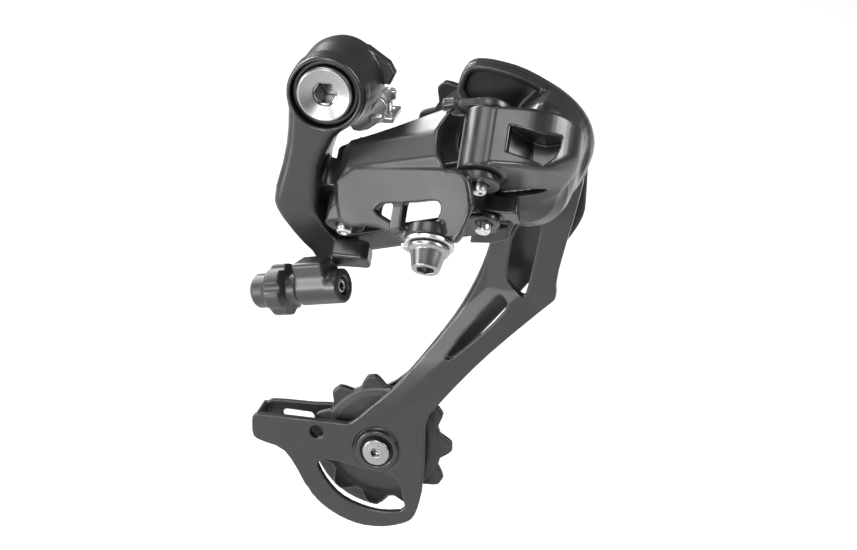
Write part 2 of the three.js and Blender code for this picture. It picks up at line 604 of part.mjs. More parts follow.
function innerCagePlate() {
  const shape = outline([
    [60, -10.5], [68, -13], [72, -20], [73, -30], [72.6, -43.4], [72.2, -48.2], [70.3, -52.5],
    [66.9, -57.8], [60, -66], [54, -74], [46.5, -83.4], [36, -96], [26, -108], [21, -118], [21, -134],
    [17, -142], [9.5, -152], [5.5, -156], [-0.5, -155], [-6.6, -152], [-11.4, -147.5], [-15, -141.5],
    [-18, -134], [-22, -130.5], [-30, -129.6], [-33, -128], [-33.4, -125.7], [-32, -121.9],
    [-30, -120.8], [-12.2, -121.1], [-3, -119], [5, -114.5], [14, -109], [20.5, -100.5], [27, -91.5],
    [32, -84], [37, -74.5], [40.5, -66], [42.5, -59], [44, -52], [40, -46], [32, -36], [29, -24],
    [34, -14], [44, -10],
  ]);
  const plateBody = plate(shape, ...INNER_PLATE);
  const tab = box([-33.4, -31.8], [OUTER_PLATE[1] + GAP, INNER_PLATE[1]], [-128.2, -122]);
  return cut(
    join(plateBody, tab),
    plate(slot(1.6, [-25, -125.6], [-17.6, -126]), 10, 25),
    rodY(2, 10, 25, [57.4, -50.6], 16),
    rodY(PULLEY_BOLT_R + FIT, 10, 25, GUIDE),
    rodY(PULLEY_BOLT_R + FIT, 10, 25, TENSION),
    plate(outline([[47, -22], [60, -20], [62, -33], [55, -40], [49, -34]]), 10, 25),
  );
}

// Toothed outline: tips and roller seats blended by a squared-off cosine.
function pulleyOutline() {
  const samples = TEETH * 8;
  const middle = (TIP_R + ROOT_R) / 2;
  const swing = (TIP_R - ROOT_R) / 2;
  const points = [];
  for (let i = 0; i < samples; i += 1) {
    const angle = (2 * Math.PI * i) / samples;
    const wave = Math.max(-1, Math.min(1, 1.25 * Math.cos(TEETH * angle)));
    const r = middle + swing * wave;
    points.push([r * Math.cos(angle), r * Math.sin(angle)]);
  }
  return outline(points);
}

function pulleyWheel() {
  const teeth = plate(pulleyOutline(), -1.2, 1.2);
  const wheel = turned([
    [0, -3], [9, -3], [10.5, -2.2], [16.5, -1.7], [18.8, -1.2], [18.8, 1.2], [16.5, 1.7], [10.5, 2.2],
    [9, 3], [0, 3],
  ], 32);
  return cut(join(teeth, wheel), rodY(BUSHING_R + FIT, -5, 5));
}

function pulleyPieces(prefix, boltHead) {
  const bushing = cut(rodY(BUSHING_R, -4.9, 4.9), rodY(PULLEY_BOLT_R + FIT, -6, 6));
  const cap = (y0) => cut(rodY(8.6, y0, y0 + 1.2), rodY(BUSHING_R + 0.3, y0 - 1, y0 + 3));
  const socket = hexY(3, -3, 2.2).translate(0, boltHead.y, 0);
  const bolt = cut(
    join(rodY(PULLEY_BOLT_R, boltHead.y, boltHead.end), rodY(4.4, boltHead.y, boltHead.y + 1)),
    socket,
  );
  return [
    mesh(`${prefix}_pulley`, pulleyWheel(), blackPlastic),
    mesh(`${prefix}_pulley_bushing`, bushing, bronze),
    mesh(`${prefix}_dust_cap_outer`, cap(-4.8), zincSteel),
    mesh(`${prefix}_dust_cap_inner`, cap(3.6), zincSteel),
    mesh(`${prefix}_pulley_bolt`, bolt, brightSteel),
  ];
}

// ---------- assembly ----------
// A group whose own axes are those of the given frame.
function framed(matrix, ...pieces) {
  const inner = new THREE.Group();
  inner.applyMatrix4(matrix);
  inner.add(...pieces);
  return inner;
}

function moved([x, y, z], ...pieces) {
  return framed(new THREE.Matrix4().makeTranslation(x, y, z), ...pieces);
}

const group = new THREE.Group();

// Hanger side: fixed to the bike's frame.
group.add(
  mesh('mounting_bolt', mountingBolt(), brightSteel),
  mesh('stopper_plate', stopperPlate(), zincSteel),
  mesh('b_axle_circlip', circlip(), springSteel),
  moved([12.2, 6, 0], mesh('b_tension_screw', bTensionScrew(), zincSteel)),
);

// Rear knuckle with what it carries.
const seal = (r, y0, y1, hole) => (
  cut(rodY(r, y0, y1, [0, 0], 32), rodY(hole, y0 - 1, y1 + 1, [0, 0], 32))
);
const axleCoil = (radius, wireR, length, turns) => (
  coil(radius, wireR, 0, length, turns).rotateX(-Math.PI / 2)
);
group.add(
  mesh('b_knuckle', rearKnuckle(), paintedAlloy),
  mesh('b_axle_seal', seal(10.2, -24.6, -22.8, BOLT_HEAD_R + GAP), blackPlastic),
  moved([0, -16.4, 0], mesh('b_spring', axleCoil(8.4, 1.1, 11.2, 3.5), springSteel)),
);
group.add(framed(
  adjusterMatrix,
  mesh('adjuster_knob', adjusterKnob(), greyPlastic),
  mesh('adjuster_stem', adjusterStem(), zincSteel),
  moved([0, -8.4, 0], mesh('adjuster_spring', axleCoil(3.2, 0.4, 6.4, 3), springSteel)),
));

// The four pins, in the frame of the pins.
const pins = [
  ['rear_outer', [0, 0], -18.6, REAR_LUGS[1][1]],
  ['rear_inner', REAR_INNER, CHANNEL[0] - 0.8, CHANNEL[1]],
  ['front_outer', FRONT, FRONT_LUGS[0][0] - 0.4, FRONT_LUGS[1][1]],
  ['front_inner', FRONT_INNER, CHANNEL[0] - 0.8, CHANNEL[1]],
];
const pinPieces = pins.flatMap(([name, [x, y], low, high]) => [
  moved([x, y, 0], mesh(`${name}_pin`, pin(low, high + 1.5), zincSteel)),
  moved([x, y, 0], mesh(`${name}_pin_clip`, pinClip(high + GAP), springSteel)),
]);
const limitScrews = LIMIT_SCREWS.map(([y, z], i) =>
  moved([LIMIT_HEAD_X, y, z], mesh(`limit_screw_${['high', 'low'][i]}`, limitScrew(), zincSteel)));

// The links, turned to their rest angle about the rear pins.
const linkFrame = (x, y) => new THREE.Matrix4().makeTranslation(x, y, 0).multiply(
  new THREE.Matrix4().makeRotationZ(REST_ANGLE),
);
const outerLinkage = framed(
  linkFrame(0, 0),
  mesh('outer_link', outerLink(), paintedAlloy),
  moved([...ANCHOR, 0], mesh('cable_anchor_washer', anchorWasher(), zincSteel)),
  moved([...ANCHOR, 0], mesh('cable_anchor_bolt', anchorBolt(), brightSteel)),
);
const innerLinkage = framed(
  linkFrame(...REAR_INNER),
  mesh('inner_link', innerLink(), paintedSteel),
  moved([LINK_LENGTH, 0, 0], mesh('return_spring', coil(3.5, 0.6, -5.1, 0, 3.5), springSteel)),
);
group.add(framed(pinFrame, ...pinPieces, ...limitScrews, outerLinkage, innerLinkage));

// Front knuckle and the pivot of the cage.
const [pivotX, pivotZ] = CAGE_PIVOT;
group.add(mesh('p_knuckle', frontKnuckle(), paintedAlloy));
group.add(moved(
  [pivotX, 0, pivotZ],
  mesh('p_spring', axleCoil(7.6, 1.2, 13.4, 3.5).translate(0, -15.4, 0), springSteel),
  mesh('p_axle_seal', seal(12.4, 2.4, 3.6, AXLE_R + 0.8), blackPlastic),
  mesh('p_axle', join(rodY(AXLE_R, -21, 7.4), rodY(6.6, 6.9, 8)), zincSteel),
));

// Cage.
const [stopX, stopZ] = STOP_PIN;
const stopPin = join(rodY(1.3, -0.4, 7, [0, 0], 12), rodY(2.2, -3.4, 3.6));
group.add(
  mesh('outer_cage_plate', outerCagePlate(), paintedAlloy),
  mesh('inner_cage_plate', innerCagePlate(), paintedSteel),
  moved([stopX, 0, stopZ], mesh('cage_stop_pin', stopPin, zincSteel)),
);
const bolts = {
  guide: { y: OUTER_PLATE[0] - 1.2, end: INNER_PLATE[1] + 0.4 },
  tension: { y: OUTER_PLATE[0] - 2.1, end: INNER_PLATE[1] + 0.4 },
};
for (const [prefix, [x, z]] of [['guide', GUIDE], ['tension', TENSION]]) {
  const { y, end } = bolts[prefix];
  group.add(moved([x, PULLEY_Y, z], ...pulleyPieces(prefix, { y: y - PULLEY_Y, end: end - PULLEY_Y })));
}

export default group;
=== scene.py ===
"""Looks of a rear bicycle derailleur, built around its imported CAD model.

Shapes are written in millimetres in the frame of the CAD model: X forward, Y inward, Z up.
Each piece is a signed distance function, negative inside, which is turned into a smooth mesh.
"""

import json
import math

import bpy
import numpy as np
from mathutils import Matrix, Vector


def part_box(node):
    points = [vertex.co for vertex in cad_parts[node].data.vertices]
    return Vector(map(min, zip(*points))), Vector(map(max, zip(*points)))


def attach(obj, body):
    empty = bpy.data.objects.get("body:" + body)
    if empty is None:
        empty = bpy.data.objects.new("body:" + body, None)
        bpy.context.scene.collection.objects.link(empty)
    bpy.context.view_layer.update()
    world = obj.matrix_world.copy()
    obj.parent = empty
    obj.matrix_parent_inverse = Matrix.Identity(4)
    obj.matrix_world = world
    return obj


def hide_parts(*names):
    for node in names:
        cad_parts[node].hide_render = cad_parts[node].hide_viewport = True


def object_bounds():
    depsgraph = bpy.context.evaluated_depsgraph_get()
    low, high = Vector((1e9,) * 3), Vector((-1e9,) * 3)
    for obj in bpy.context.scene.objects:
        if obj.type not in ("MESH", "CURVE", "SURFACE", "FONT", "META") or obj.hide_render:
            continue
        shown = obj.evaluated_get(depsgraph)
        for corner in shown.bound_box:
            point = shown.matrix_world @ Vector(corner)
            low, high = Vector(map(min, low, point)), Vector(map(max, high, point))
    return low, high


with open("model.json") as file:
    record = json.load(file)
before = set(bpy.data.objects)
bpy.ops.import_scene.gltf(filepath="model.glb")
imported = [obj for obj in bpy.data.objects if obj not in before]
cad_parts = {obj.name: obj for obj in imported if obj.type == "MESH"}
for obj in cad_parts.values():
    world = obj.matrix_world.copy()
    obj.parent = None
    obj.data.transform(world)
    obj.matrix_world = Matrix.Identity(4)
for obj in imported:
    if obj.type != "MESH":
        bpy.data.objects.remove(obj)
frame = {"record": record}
cad_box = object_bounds()
scene = bpy.context.scene
MM = 0.001
COARSE = 1.0
SHORT_OUTLINE = 14  # corners below which an outline is measured directly
TABLE_STEP = 0.4  # of the table that a long outline is read from
TABLE_MARGIN = 4
BATCH = 300000  # points measured at a time
BLOCK = 4  # grid points along a block's side
SLOPE_REACH = 0.05  # step for measuring the slope of a distance


# ---------- flat outlines ----------
def softened(points, times=1):
    """The closed outline with its corners cut, as many times as asked."""
    loop = np.array(points, float)
    for _ in range(times):
        after = np.roll(loop, -1, axis=0)
        loop = np.stack([loop * 0.75 + after * 0.25, loop * 0.25 + after * 0.75], 1).reshape(-1, 2)
    return loop


def distance_to_loop(loop, x, y):
    """The signed distance in the plane, negative inside the loop."""
    nearest = np.full(x.shape, np.inf)
    inside = np.zeros(x.shape, bool)
    for (ax, ay), (bx, by) in zip(loop, np.roll(loop, -1, axis=0)):
        ex, ey = bx - ax, by - ay
        wx, wy = x - ax, y - ay
        along = np.clip((wx * ex + wy * ey) / (ex * ex + ey * ey), 0, 1)
        nearest = np.minimum(nearest, (wx - ex * along) ** 2 + (wy - ey * along) ** 2)
        left = ex * wy - ey * wx
        inside ^= ((ay <= y) & (y < by) & (left > 0)) | ((by <= y) & (y < ay) & (left < 0))
    return np.where(inside, -1, 1) * np.sqrt(nearest)


def outline(points, soft=0):
    """The distance to a closed outline; a long one is measured once and read from a table."""
    loop = softened(points, soft)
    if len(loop) < SHORT_OUTLINE:
        return lambda x, y: distance_to_loop(loop, x, y)
    step = TABLE_STEP
    low = loop.min(0) - TABLE_MARGIN
    count = np.ceil((loop.max(0) + TABLE_MARGIN - low) / step).astype(int) + 1
    gx, gy = np.meshgrid(*[low[i] + step * np.arange(count[i]) for i in (0, 1)], indexing="ij")
    table = distance_to_loop(loop, gx, gy)

    def distance(x, y):
        u = np.clip((x - low[0]) / step, 0, count[0] - 1.001)
        v = np.clip((y - low[1]) / step, 0, count[1] - 1.001)
        i, j = u.astype(int), v.astype(int)
        u, v = u - i, v - j
        inner = (table[i, j] * (1 - u) + table[i + 1, j] * u) * (1 - v)
        inner += (table[i, j + 1] * (1 - u) + table[i + 1, j + 1] * u) * v
        outside = np.hypot(
            x - np.clip(x, low[0], low[0] + step * (count[0] - 1)),
            y - np.clip(y, low[1], low[1] + step * (count[1] - 1)),
        )
        return inner + outside

    return distance


# ---------- solids ----------
def rounded(flat, height, edge):
    """The distance to a solid between a flat outline and its two ends, with its edges rounded."""
    a, b = flat + edge, height + edge
    return np.minimum(np.maximum(a, b), 0) + np.hypot(np.maximum(a, 0), np.maximum(b, 0)) - edge


def slab(shape, low, high, axis=2, edge=0.4):
    """An outline drawn in the local XY plane (axis 2) or XZ plane (axis 1), between two depths."""
    if not callable(shape):
        shape = outline(shape)
    other = 3 - axis
    middle, half = (low + high) / 2, (high - low) / 2
    return lambda p: rounded(shape(p[:, 0], p[:, other]), np.abs(p[:, axis] - middle) - half, edge)


def rod(r, low, high, at=(0, 0), axis=2, edge=0.3):
    """A round bar along local Z or Y between two depths."""
    def disc(x, y):
        return np.hypot(x - at[0], y - at[1]) - r

    return slab(disc, low, high, axis, min(edge, r * 0.9))


def bar(x, y, z, edge=0.4):
    """A block, from its extents along each axis."""
    low, high = np.array([x, y, z], float).T
    middle, half = (low + high) / 2, (high - low) / 2

    def distance(p):
        q = np.abs(p - middle) - half + edge
        return np.minimum(q.max(1), 0) + np.linalg.norm(np.maximum(q, 0), axis=1) - edge

    return distance


def turned(profile, at=(0, 0), axis=1, edge=0.3):
    """A turned solid about local Y or Z; its [radius, depth] points start and end on its axis."""
    mirrored = [[-r, depth] for r, depth in reversed(profile) if r > 0]
    shape = outline(inset(list(profile) + mirrored, edge))
    other = 3 - axis

    def distance(p):
        r = np.hypot(p[:, 0] - at[0], p[:, other] - at[1])
        return shape(r, p[:, axis]) - edge

    return distance


def inset(points, amount):
    """The outline moved inward, corner by corner."""
    loop = np.array(points, float)
    before, after = np.roll(loop, 1, axis=0), np.roll(loop, -1, axis=0)
    area = np.sum(loop[:, 0] * after[:, 1] - after[:, 0] * loop[:, 1])
    turn = 1 if area > 0 else -1

    def inward(start, end):
        d = end - start
        n = np.stack([-d[:, 1], d[:, 0]], 1) * turn
        return n / np.maximum(np.linalg.norm(n, axis=1, keepdims=True), 1e-9)

    a, b = inward(before, loop), inward(loop, after)
    mid = a + b
    return loop + mid * amount / np.maximum((mid * a).sum(1, keepdims=True), 0.35)


def lane(r, a, b):
    """A slot with round ends between two points."""
    a, b = np.array(a, float), np.array(b, float)
    d = b - a

    def distance(x, y):
        t = np.clip(((x - a[0]) * d[0] + (y - a[1]) * d[1]) / (d @ d), 0, 1)
        return np.hypot(x - a[0] - d[0] * t, y - a[1] - d[1] * t) - r

    return distance


def half_space(normal, point):
    """Everything on the side that the plane's normal points away from."""
    n = np.array(normal, float)
    n /= np.linalg.norm(n)
    return lambda p: (p - np.array(point, float)) @ n


def union(soft, *parts):
    """The parts as one, with a fillet of the given size where they meet."""
    def distance(p):
        total = parts[0](p)
        for part in parts[1:]:
            other = part(p)
            total = softer_min(total, other, soft)
        return total

    return distance


def softer_min(a, b, soft):
    if soft == 0:
        return np.minimum(a, b)
    h = np.maximum(soft - np.abs(a - b), 0) / soft
    return np.minimum(a, b) - h * h * soft / 4


def cut(soft, body, *tools):
    """The body less its tools."""
    def distance(p):
        rest = -body(p)
        for tool in tools:
            rest = softer_min(rest, tool(p), soft)
        return -rest

    return distance


def common(soft, *parts):
    """Where all parts overlap."""
    return lambda p: -union(soft, *[(lambda q, f=part: -f(q)) for part in parts])(p)


def placed(axes, origin, part):
    """The part drawn in a local frame, whose axes are rows in the object's frame."""
    rows, start = np.array(axes, float), np.array(origin, float)
    return lambda p: part((p - start) @ rows.T)


def shifted(origin, part):
    return placed(np.eye(3), origin, part)


def hexagon(across_flats):
    r = across_flats / math.sqrt(3)
    return [[r * math.cos(k * math.pi / 3), r * math.sin(k * math.pi / 3)] for k in range(6)]


def threaded(r, pitch, low, high, axis=1, depth=0.55):
    """A bar with a screw thread."""
    def distance(p):
        other = 3 - axis
        turn = np.arctan2(p[:, other], p[:, 0]) / (2 * math.pi)
        wave = np.abs(((p[:, axis] / pitch + turn) % 1) - 0.5) * 2
        flank = np.hypot(p[:, 0], p[:, other]) - r + depth * np.clip(wave * 1.3 - 0.15, 0, 1)
        return np.maximum(flank * 0.7, np.abs(p[:, axis] - (low + high) / 2) - (high - low) / 2)

    return distance


# ---------- from a distance to a mesh ----------
def measured(part, points):
    starts = range(0, len(points), BATCH)
    return np.concatenate([part(points[i : i + BATCH]) for i in starts])


def grid(counts):
    """Every whole-number place in a box of the given counts."""
    return np.stack(np.meshgrid(*[np.arange(n) for n in counts], indexing="ij"), -1).reshape(-1, 3)


def sampled(part, low, high, pitch):
    """Distances on a grid, worked out finely only in the blocks that may hold the surface."""
    blocks = np.ceil((high - low) / (pitch * BLOCK)).astype(int)
    starts = grid(blocks)
    half_block = (BLOCK - 1) / 2
    centres = low + (starts * BLOCK + half_block) * pitch
    coarse = measured(part, centres)
    field = coarse.reshape(blocks)
    for axis in range(3):
        field = np.repeat(field, BLOCK, axis)
    near = np.abs(coarse) < (half_block * math.sqrt(3) + 1.2) * pitch
    cells = (starts[near][:, None, :] * BLOCK + grid([BLOCK] * 3)[None]).reshape(-1, 3)
    field[tuple(cells.T)] = measured(part, low + cells * pitch)
    return field


CORNERS = np.array([[i, j, k] for i in (0, 1) for j in (0, 1) for k in (0, 1)])
EDGES = [
    (a, b)
    for a in range(8)
    for b in range(a + 1, 8)
    if abs(CORNERS[a] - CORNERS[b]).sum() == 1
]


def skin(part, low, high, pitch):
    """Corner points and quads of the surface where the distance is zero."""
    field = sampled(part, low, high, pitch)
    inside = field < 0
    shape = np.array(field.shape) - 1
    count = sum(
        inside[i : i + shape[0], j : j + shape[1], k : k + shape[2]].astype(np.int8)
        for i, j, k in CORNERS
    )
    active = (count > 0) & (count < 8)
    cells = np.argwhere(active)
    ids = np.full(active.shape, -1)
    ids[active] = np.arange(len(cells))
    values = [field[tuple((cells + corner).T)] for corner in CORNERS]
    total, hits = np.zeros((len(cells), 3)), np.zeros(len(cells))
    for a, b in EDGES:
        crossing = (values[a] < 0) != (values[b] < 0)
        share = values[a][crossing] / (values[a][crossing] - values[b][crossing])
        step = CORNERS[a] + (CORNERS[b] - CORNERS[a]) * share[:, None]
        total[crossing] += step
        hits[crossing] += 1
    points = low + (cells + total / hits[:, None]) * pitch
    quads = []
    for axis in range(3):
        u, v = np.eye(3, dtype=int)[(axis + 1) % 3], np.eye(3, dtype=int)[(axis + 2) % 3]
        ahead = np.eye(3, dtype=int)[axis]
        first = inside[: -ahead[0] or None, : -ahead[1] or None, : -ahead[2] or None]
        second = inside[ahead[0] :, ahead[1] :, ahead[2] :]
        at = np.argwhere(first != second)
        at = at[(at[:, (axis + 1) % 3] > 0) & (at[:, (axis + 2) % 3] > 0)]
        at = at[(at < shape).all(1)]
        ring = np.stack([ids[tuple((at - o).T)] for o in (0 * u, u, u + v, v)], 1)
        flip = first[tuple(at.T)]
        ring[~flip] = ring[~flip][:, ::-1]
        quads.append(ring)
    return points, np.concatenate(quads)


def settled(part, points, quads, pitch, rounds=3):
    """The points evened out along the surface and put back exactly on it."""
    pairs = np.concatenate([quads[:, [k, (k + 1) % 4]] for k in range(4)])
    a, b = np.concatenate([pairs, pairs[:, ::-1]]).T
    degree = np.bincount(a, minlength=len(points))
    for n in range(rounds):
        if n:
            mean = np.stack([np.bincount(a, points[b, k], len(points)) for k in range(3)], 1)
            points = points * 0.5 + 0.5 * mean / degree[:, None]
        slope = np.zeros_like(points)
        for k in range(3):
            step = np.zeros(3)
            step[k] = SLOPE_REACH
            slope[:, k] = measured(part, points + step) - measured(part, points - step)
        slope /= 2 * SLOPE_REACH
        square = np.maximum((slope**2).sum(1), 0.3)
        move = measured(part, points) / square
        points = points - np.clip(move, -pitch, pitch)[:, None] * slope
    return points


def mesh_from(name, points, faces):
    """A smooth Blender object from points in millimetres."""
    mesh = bpy.data.meshes.new(name)
    sides = faces.shape[1]
    mesh.vertices.add(len(points))
    mesh.vertices.foreach_set("co", (points * MM).astype(np.float32).ravel())
    mesh.loops.add(faces.size)
    mesh.loops.foreach_set("vertex_index", faces.astype(np.int32).ravel())
    mesh.polygons.add(len(faces))
    mesh.polygons.foreach_set("loop_start", np.arange(0, faces.size, sides, dtype=np.int32))
    mesh.polygons.foreach_set("use_smooth", np.ones(len(faces), bool))
    mesh.update(calc_edges=True)
    mesh.validate()
    item = bpy.data.objects.new(name, mesh)
    scene.collection.objects.link(item)
    return item


BODY_OF = {
    node: body
    for body, nodes in frame["record"]["behaviour"]["bodies"].items()
    for node in nodes
}


def fitted(item, node, finish):
    """Gives a piece its finish and lets it stand for its CAD node."""
    material, slot_name = finish
    item.data.materials.append(material)
    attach(item, BODY_OF[node])
    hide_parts(node)
    return item


def piece(node, part, finish, pitch=0.4, margin=1.0):
    """A piece that stands for one CAD node, made from its distance function."""
    low, high = (np.array(corner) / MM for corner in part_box(node))
    pitch = pitch * COARSE
    low, high = low - margin - pitch, high + margin + pitch
    points, quads = skin(part, low, high, pitch)
    points = settled(part, points, quads, pitch)
    item = mesh_from(node + "_look", points, quads)
    print("piece", node, len(quads))
    return fitted(item, node, finish)


# ---------- materials ----------
MIX_SHARE, MIX_A, MIX_B, MIX_RESULT = 0, 6, 7, 2  # the colour sockets of a mix node
WEAR_FROM, WEAR_FULL = 0.53, 0.62  # pointiness of an edge that starts to wear, and of a worn one


def wired(name, colour, roughness, metallic, grain=900, peel=0.06, mottling=0.12, uneven=0.07,
          rings=None, coat=0.0, wear=0.0):
    """A procedural material: mottled colour, uneven roughness and a fine bump.

    With rings=(centre, axis), in millimetres, the bump runs in circles, as lathe marks do.
    """
    made = bpy.data.materials.new(name)
    made.use_nodes = True
    tree = made.node_tree
    shader = tree.nodes["Principled BSDF"]
    shader.inputs["Metallic"].default_value = metallic
    shader.inputs["Coat Weight"].default_value = coat
    shader.inputs["Coat Roughness"].default_value = 0.18

    def node(kind, **settings):
        item = tree.nodes.new(kind)
        for key, value in settings.items():
            if hasattr(item, key):
                setattr(item, key, value)
            else:
                item.inputs[key].default_value = value
        return item

    link = tree.links.new
    place = node("ShaderNodeTexCoord").outputs["Object"]

    def noise(scale, detail=3.0, where=place):
        item = node("ShaderNodeTexNoise", Scale=scale, Detail=detail)
        link(where, item.inputs["Vector"])
        return item.outputs["Fac"]

    def ranged(value, low, high):
        item = node("ShaderNodeMapRange")
        item.inputs["From Min"].default_value = 0.3
        item.inputs["From Max"].default_value = 0.7
        item.inputs["To Min"].default_value = low
        item.inputs["To Max"].default_value = high
        link(value, item.inputs["Value"])
        return item.outputs["Result"]

    def mixed(share, a, b):
        item = node("ShaderNodeMix", data_type="RGBA")
        for index, value in ((MIX_SHARE, share), (MIX_A, a), (MIX_B, b)):
            socket = item.inputs[index]
            if isinstance(value, bpy.types.NodeSocket):
                link(value, socket)
            else:
                socket.default_value = value
        return item.outputs[MIX_RESULT]

    dark = tuple(c * (1 - mottling) for c in colour) + (1,)
    light = tuple(min(1, c * (1 + mottling)) for c in colour) + (1,)
    tint = mixed(ranged(noise(140), 0, 1), dark, light)
    fine = noise(grain, 2.0)
    speck = mixed(ranged(fine, 0, 0.5), dark, light)
    tint = mixed(0.35, tint, speck)
    if wear:
        edge = node("ShaderNodeNewGeometry").outputs["Pointiness"]
        worn = node("ShaderNodeMapRange")
        worn.inputs["From Min"].default_value = WEAR_FROM
        worn.inputs["From Max"].default_value = WEAR_FULL
        worn.inputs["To Max"].default_value = wear
        link(edge, worn.inputs["Value"])
        scuff = node("ShaderNodeMath", operation="MULTIPLY")
        link(worn.outputs["Result"], scuff.inputs[0])
        link(ranged(noise(420), 0, 1), scuff.inputs[1])
        bare = tuple(min(1, c * 3 + 0.04) for c in colour) + (1,)
        tint = mixed(scuff.outputs[0], tint, bare)
    link(tint, shader.inputs["Base Color"])
    height = fine
    if rings:
        centre, axis = rings
        offset = node("ShaderNodeVectorMath", operation="SUBTRACT")
        link(place, offset.inputs[0])
        offset.inputs[1].default_value = [c * MM for c in centre]
        across = node("ShaderNodeVectorMath", operation="CROSS_PRODUCT")
        link(offset.outputs[0], across.inputs[0])
        across.inputs[1].default_value = axis
        radius = node("ShaderNodeVectorMath", operation="LENGTH")
        link(across.outputs[0], radius.inputs[0])
        height = noise(2600, 2.0, radius.outputs["Value"])
        sheen = height
    else:
        sheen = noise(70, 4.0)
    link(ranged(sheen, roughness - uneven, roughness + uneven), shader.inputs["Roughness"])
    bump = node("ShaderNodeBump", Strength=peel, Distance=0.0001)
    link(height, bump.inputs["Height"])
    link(bump.outputs["Normal"], shader.inputs["Normal"])
    return made


def look(name, *settings, slot=None, **more):
    """A material and the record's slot that it belongs to."""
    return wired(name, *settings, **more), slot or name


painted_alloy = look("painted_alloy", (0.016, 0.016, 0.0165), 0.33, 0.1, wear=0.25, coat=0.2)
painted_steel = look("painted_steel", (0.014, 0.014, 0.0145), 0.36, 0.1, coat=0.15, wear=0.2)
bolt_steel = look(
    "turned_steel", (0.31, 0.31, 0.315), 0.32, 1, peel=0.10, rings=((0, 0, 0), (0, 1, 0)),
    slot="bright_steel",
)
bright_steel = look("bright_steel", (0.31, 0.31, 0.315), 0.28, 1, peel=0.05)
plated_steel = look("plated_steel", (0.60, 0.60, 0.61), 0.33, 1, grain=700, peel=0.08)
spring_steel = look("spring_steel", (0.34, 0.34, 0.35), 0.30, 1, peel=0.05)
black_plastic = look("black_plastic", (0.014, 0.014, 0.014), 0.42, 0, grain=1600, peel=0.12)
knob_plastic = look("knob_plastic", (0.024, 0.024, 0.025), 0.36, 0, grain=1500, peel=0.10)
pulley_plastic = look(
    "pulley_plastic", (0.014, 0.014, 0.0145), 0.36, 0, grain=1300, peel=0.12
)
bushing_bronze = look("bushing_bronze", (0.34, 0.27, 0.16), 0.38, 1, grain=900, peel=0.08)

# ---------- camera, floor and lights ----------
CAMERA_AT = Vector((200.25, -819.1, 264.2)) * MM
LOOK_AT = Vector((26.15, 0, -65.66)) * MM
camera_data = bpy.data.cameras.new("camera")
camera_data.lens = 121.0
camera_data.sensor_width = 36.0
camera = bpy.data.objects.new("camera", camera_data)
camera.location = CAMERA_AT
camera.rotation_mode = "QUATERNION"
camera.rotation_quaternion = (LOOK_AT - CAMERA_AT).to_track_quat("-Z", "Y")
scene.collection.objects.link(camera)
scene.camera = camera

world = bpy.data.worlds.new("studio")
world.use_nodes = True
world.node_tree.nodes["Background"].inputs["Color"].default_value = (1, 1, 1, 1)
world.node_tree.nodes["Background"].inputs["Strength"].default_value = 0.15
scene.world = world
scene.view_settings.view_transform = "Standard"

FLOOR_DROP = 0.12  # metres from the object's lowest point to the floor
FLOOR_REACH = 6.0
floor_mesh = bpy.data.meshes.new("floor")
level = cad_box[0].z - FLOOR_DROP
corners = ((-1, -1), (1, -1), (1, 1), (-1, 1))
floor_mesh.from_pydata(
    [(FLOOR_REACH * x, FLOOR_REACH * y, level) for x, y in corners], [], [(0, 1, 2, 3)]
)
floor = bpy.data.objects.new("floor", floor_mesh)
scene.collection.objects.link(floor)
floor_finish = wired("pale_floor", (0.74, 0.74, 0.74), 0.8, 0, grain=60, peel=0.02, mottling=0.01)
floor.data.materials.append(floor_finish)


def softbox(name, at, size, watts):
    """A rectangular light, in metres and watts, aimed at the middle of the object."""
    data = bpy.data.lights.new(name, "AREA")
    data.shape = "RECTANGLE"
    data.size, data.size_y = size
    data.energy = watts
    light = bpy.data.objects.new(name, data)
    light.location = at
    light.rotation_mode = "QUATERNION"
    light.rotation_quaternion = (LOOK_AT - Vector(at)).to_track_quat("-Z", "Y")
    scene.collection.objects.link(light)


softbox("left", (-1.5, -0.8, 0.37), (0.7, 0.6), 7.5)
softbox("low", (-0.95, -1.12, -0.02), (0.42, 0.36), 11)
softbox("front", (-0.27, -1.6, 0.32), (0.3, 0.15), 11)
softbox("above", (-0.27, -0.52, 1.27), (0.8, 0.5), 8)
softbox("back", (-1.28, 0.78, 0.87), (1.7, 0.7), 46)
softbox("right", (1.2, 0.1, 0.75), (0.5, 0.8), 20)

# ---------- frames of the mechanism ----------
REAR_PIN = (6.8, -17, -26.9)  # the outer link's rear pin
REST = math.radians(-26)  # the links' angle at rest
SWING = math.radians(58)
SWING_STEPS = 8
LONG = 48.0  # between the two pins of a link
SPACING = 15.0  # between the two links
PIN_AXIS = (0, math.sqrt(0.5), math.sqrt(0.5))
PINS = [(1, 0, 0), (0, math.sqrt(0.5), -math.sqrt(0.5)), PIN_AXIS]
FRONT = (LONG * math.cos(REST), LONG * math.sin(REST))
REAR_INNER = (0, SPACING)
FRONT_INNER = (FRONT[0], FRONT[1] + SPACING)
u_axis, v_axis, w_axis = (np.array(axis, float) for axis in PINS)
LINK = [
    u_axis * math.cos(REST) + v_axis * math.sin(REST),
    v_axis * math.cos(REST) - u_axis * math.sin(REST),
    w_axis,
]
INNER_START = np.array(REAR_PIN) + v_axis * SPACING
adjuster_axis = np.array((0.941, -0.245, 0.232))
adjuster_axis /= np.linalg.norm(adjuster_axis)
adjuster_side = np.cross(adjuster_axis, (0, 0, 1))
adjuster_side /= np.linalg.norm(adjuster_side)
ADJUSTER = [adjuster_side, adjuster_axis, np.cross(adjuster_side, adjuster_axis)]
ADJUSTER_START = (-6.8, -29, -61.5)


def in_pins(part):
    return placed(PINS, REAR_PIN, part)


def in_link(part):
    return placed(LINK, REAR_PIN, part)


def in_inner_link(part):
    return placed(LINK, INNER_START, part)


def in_adjuster(part):
    return placed(ADJUSTER, ADJUSTER_START, part)


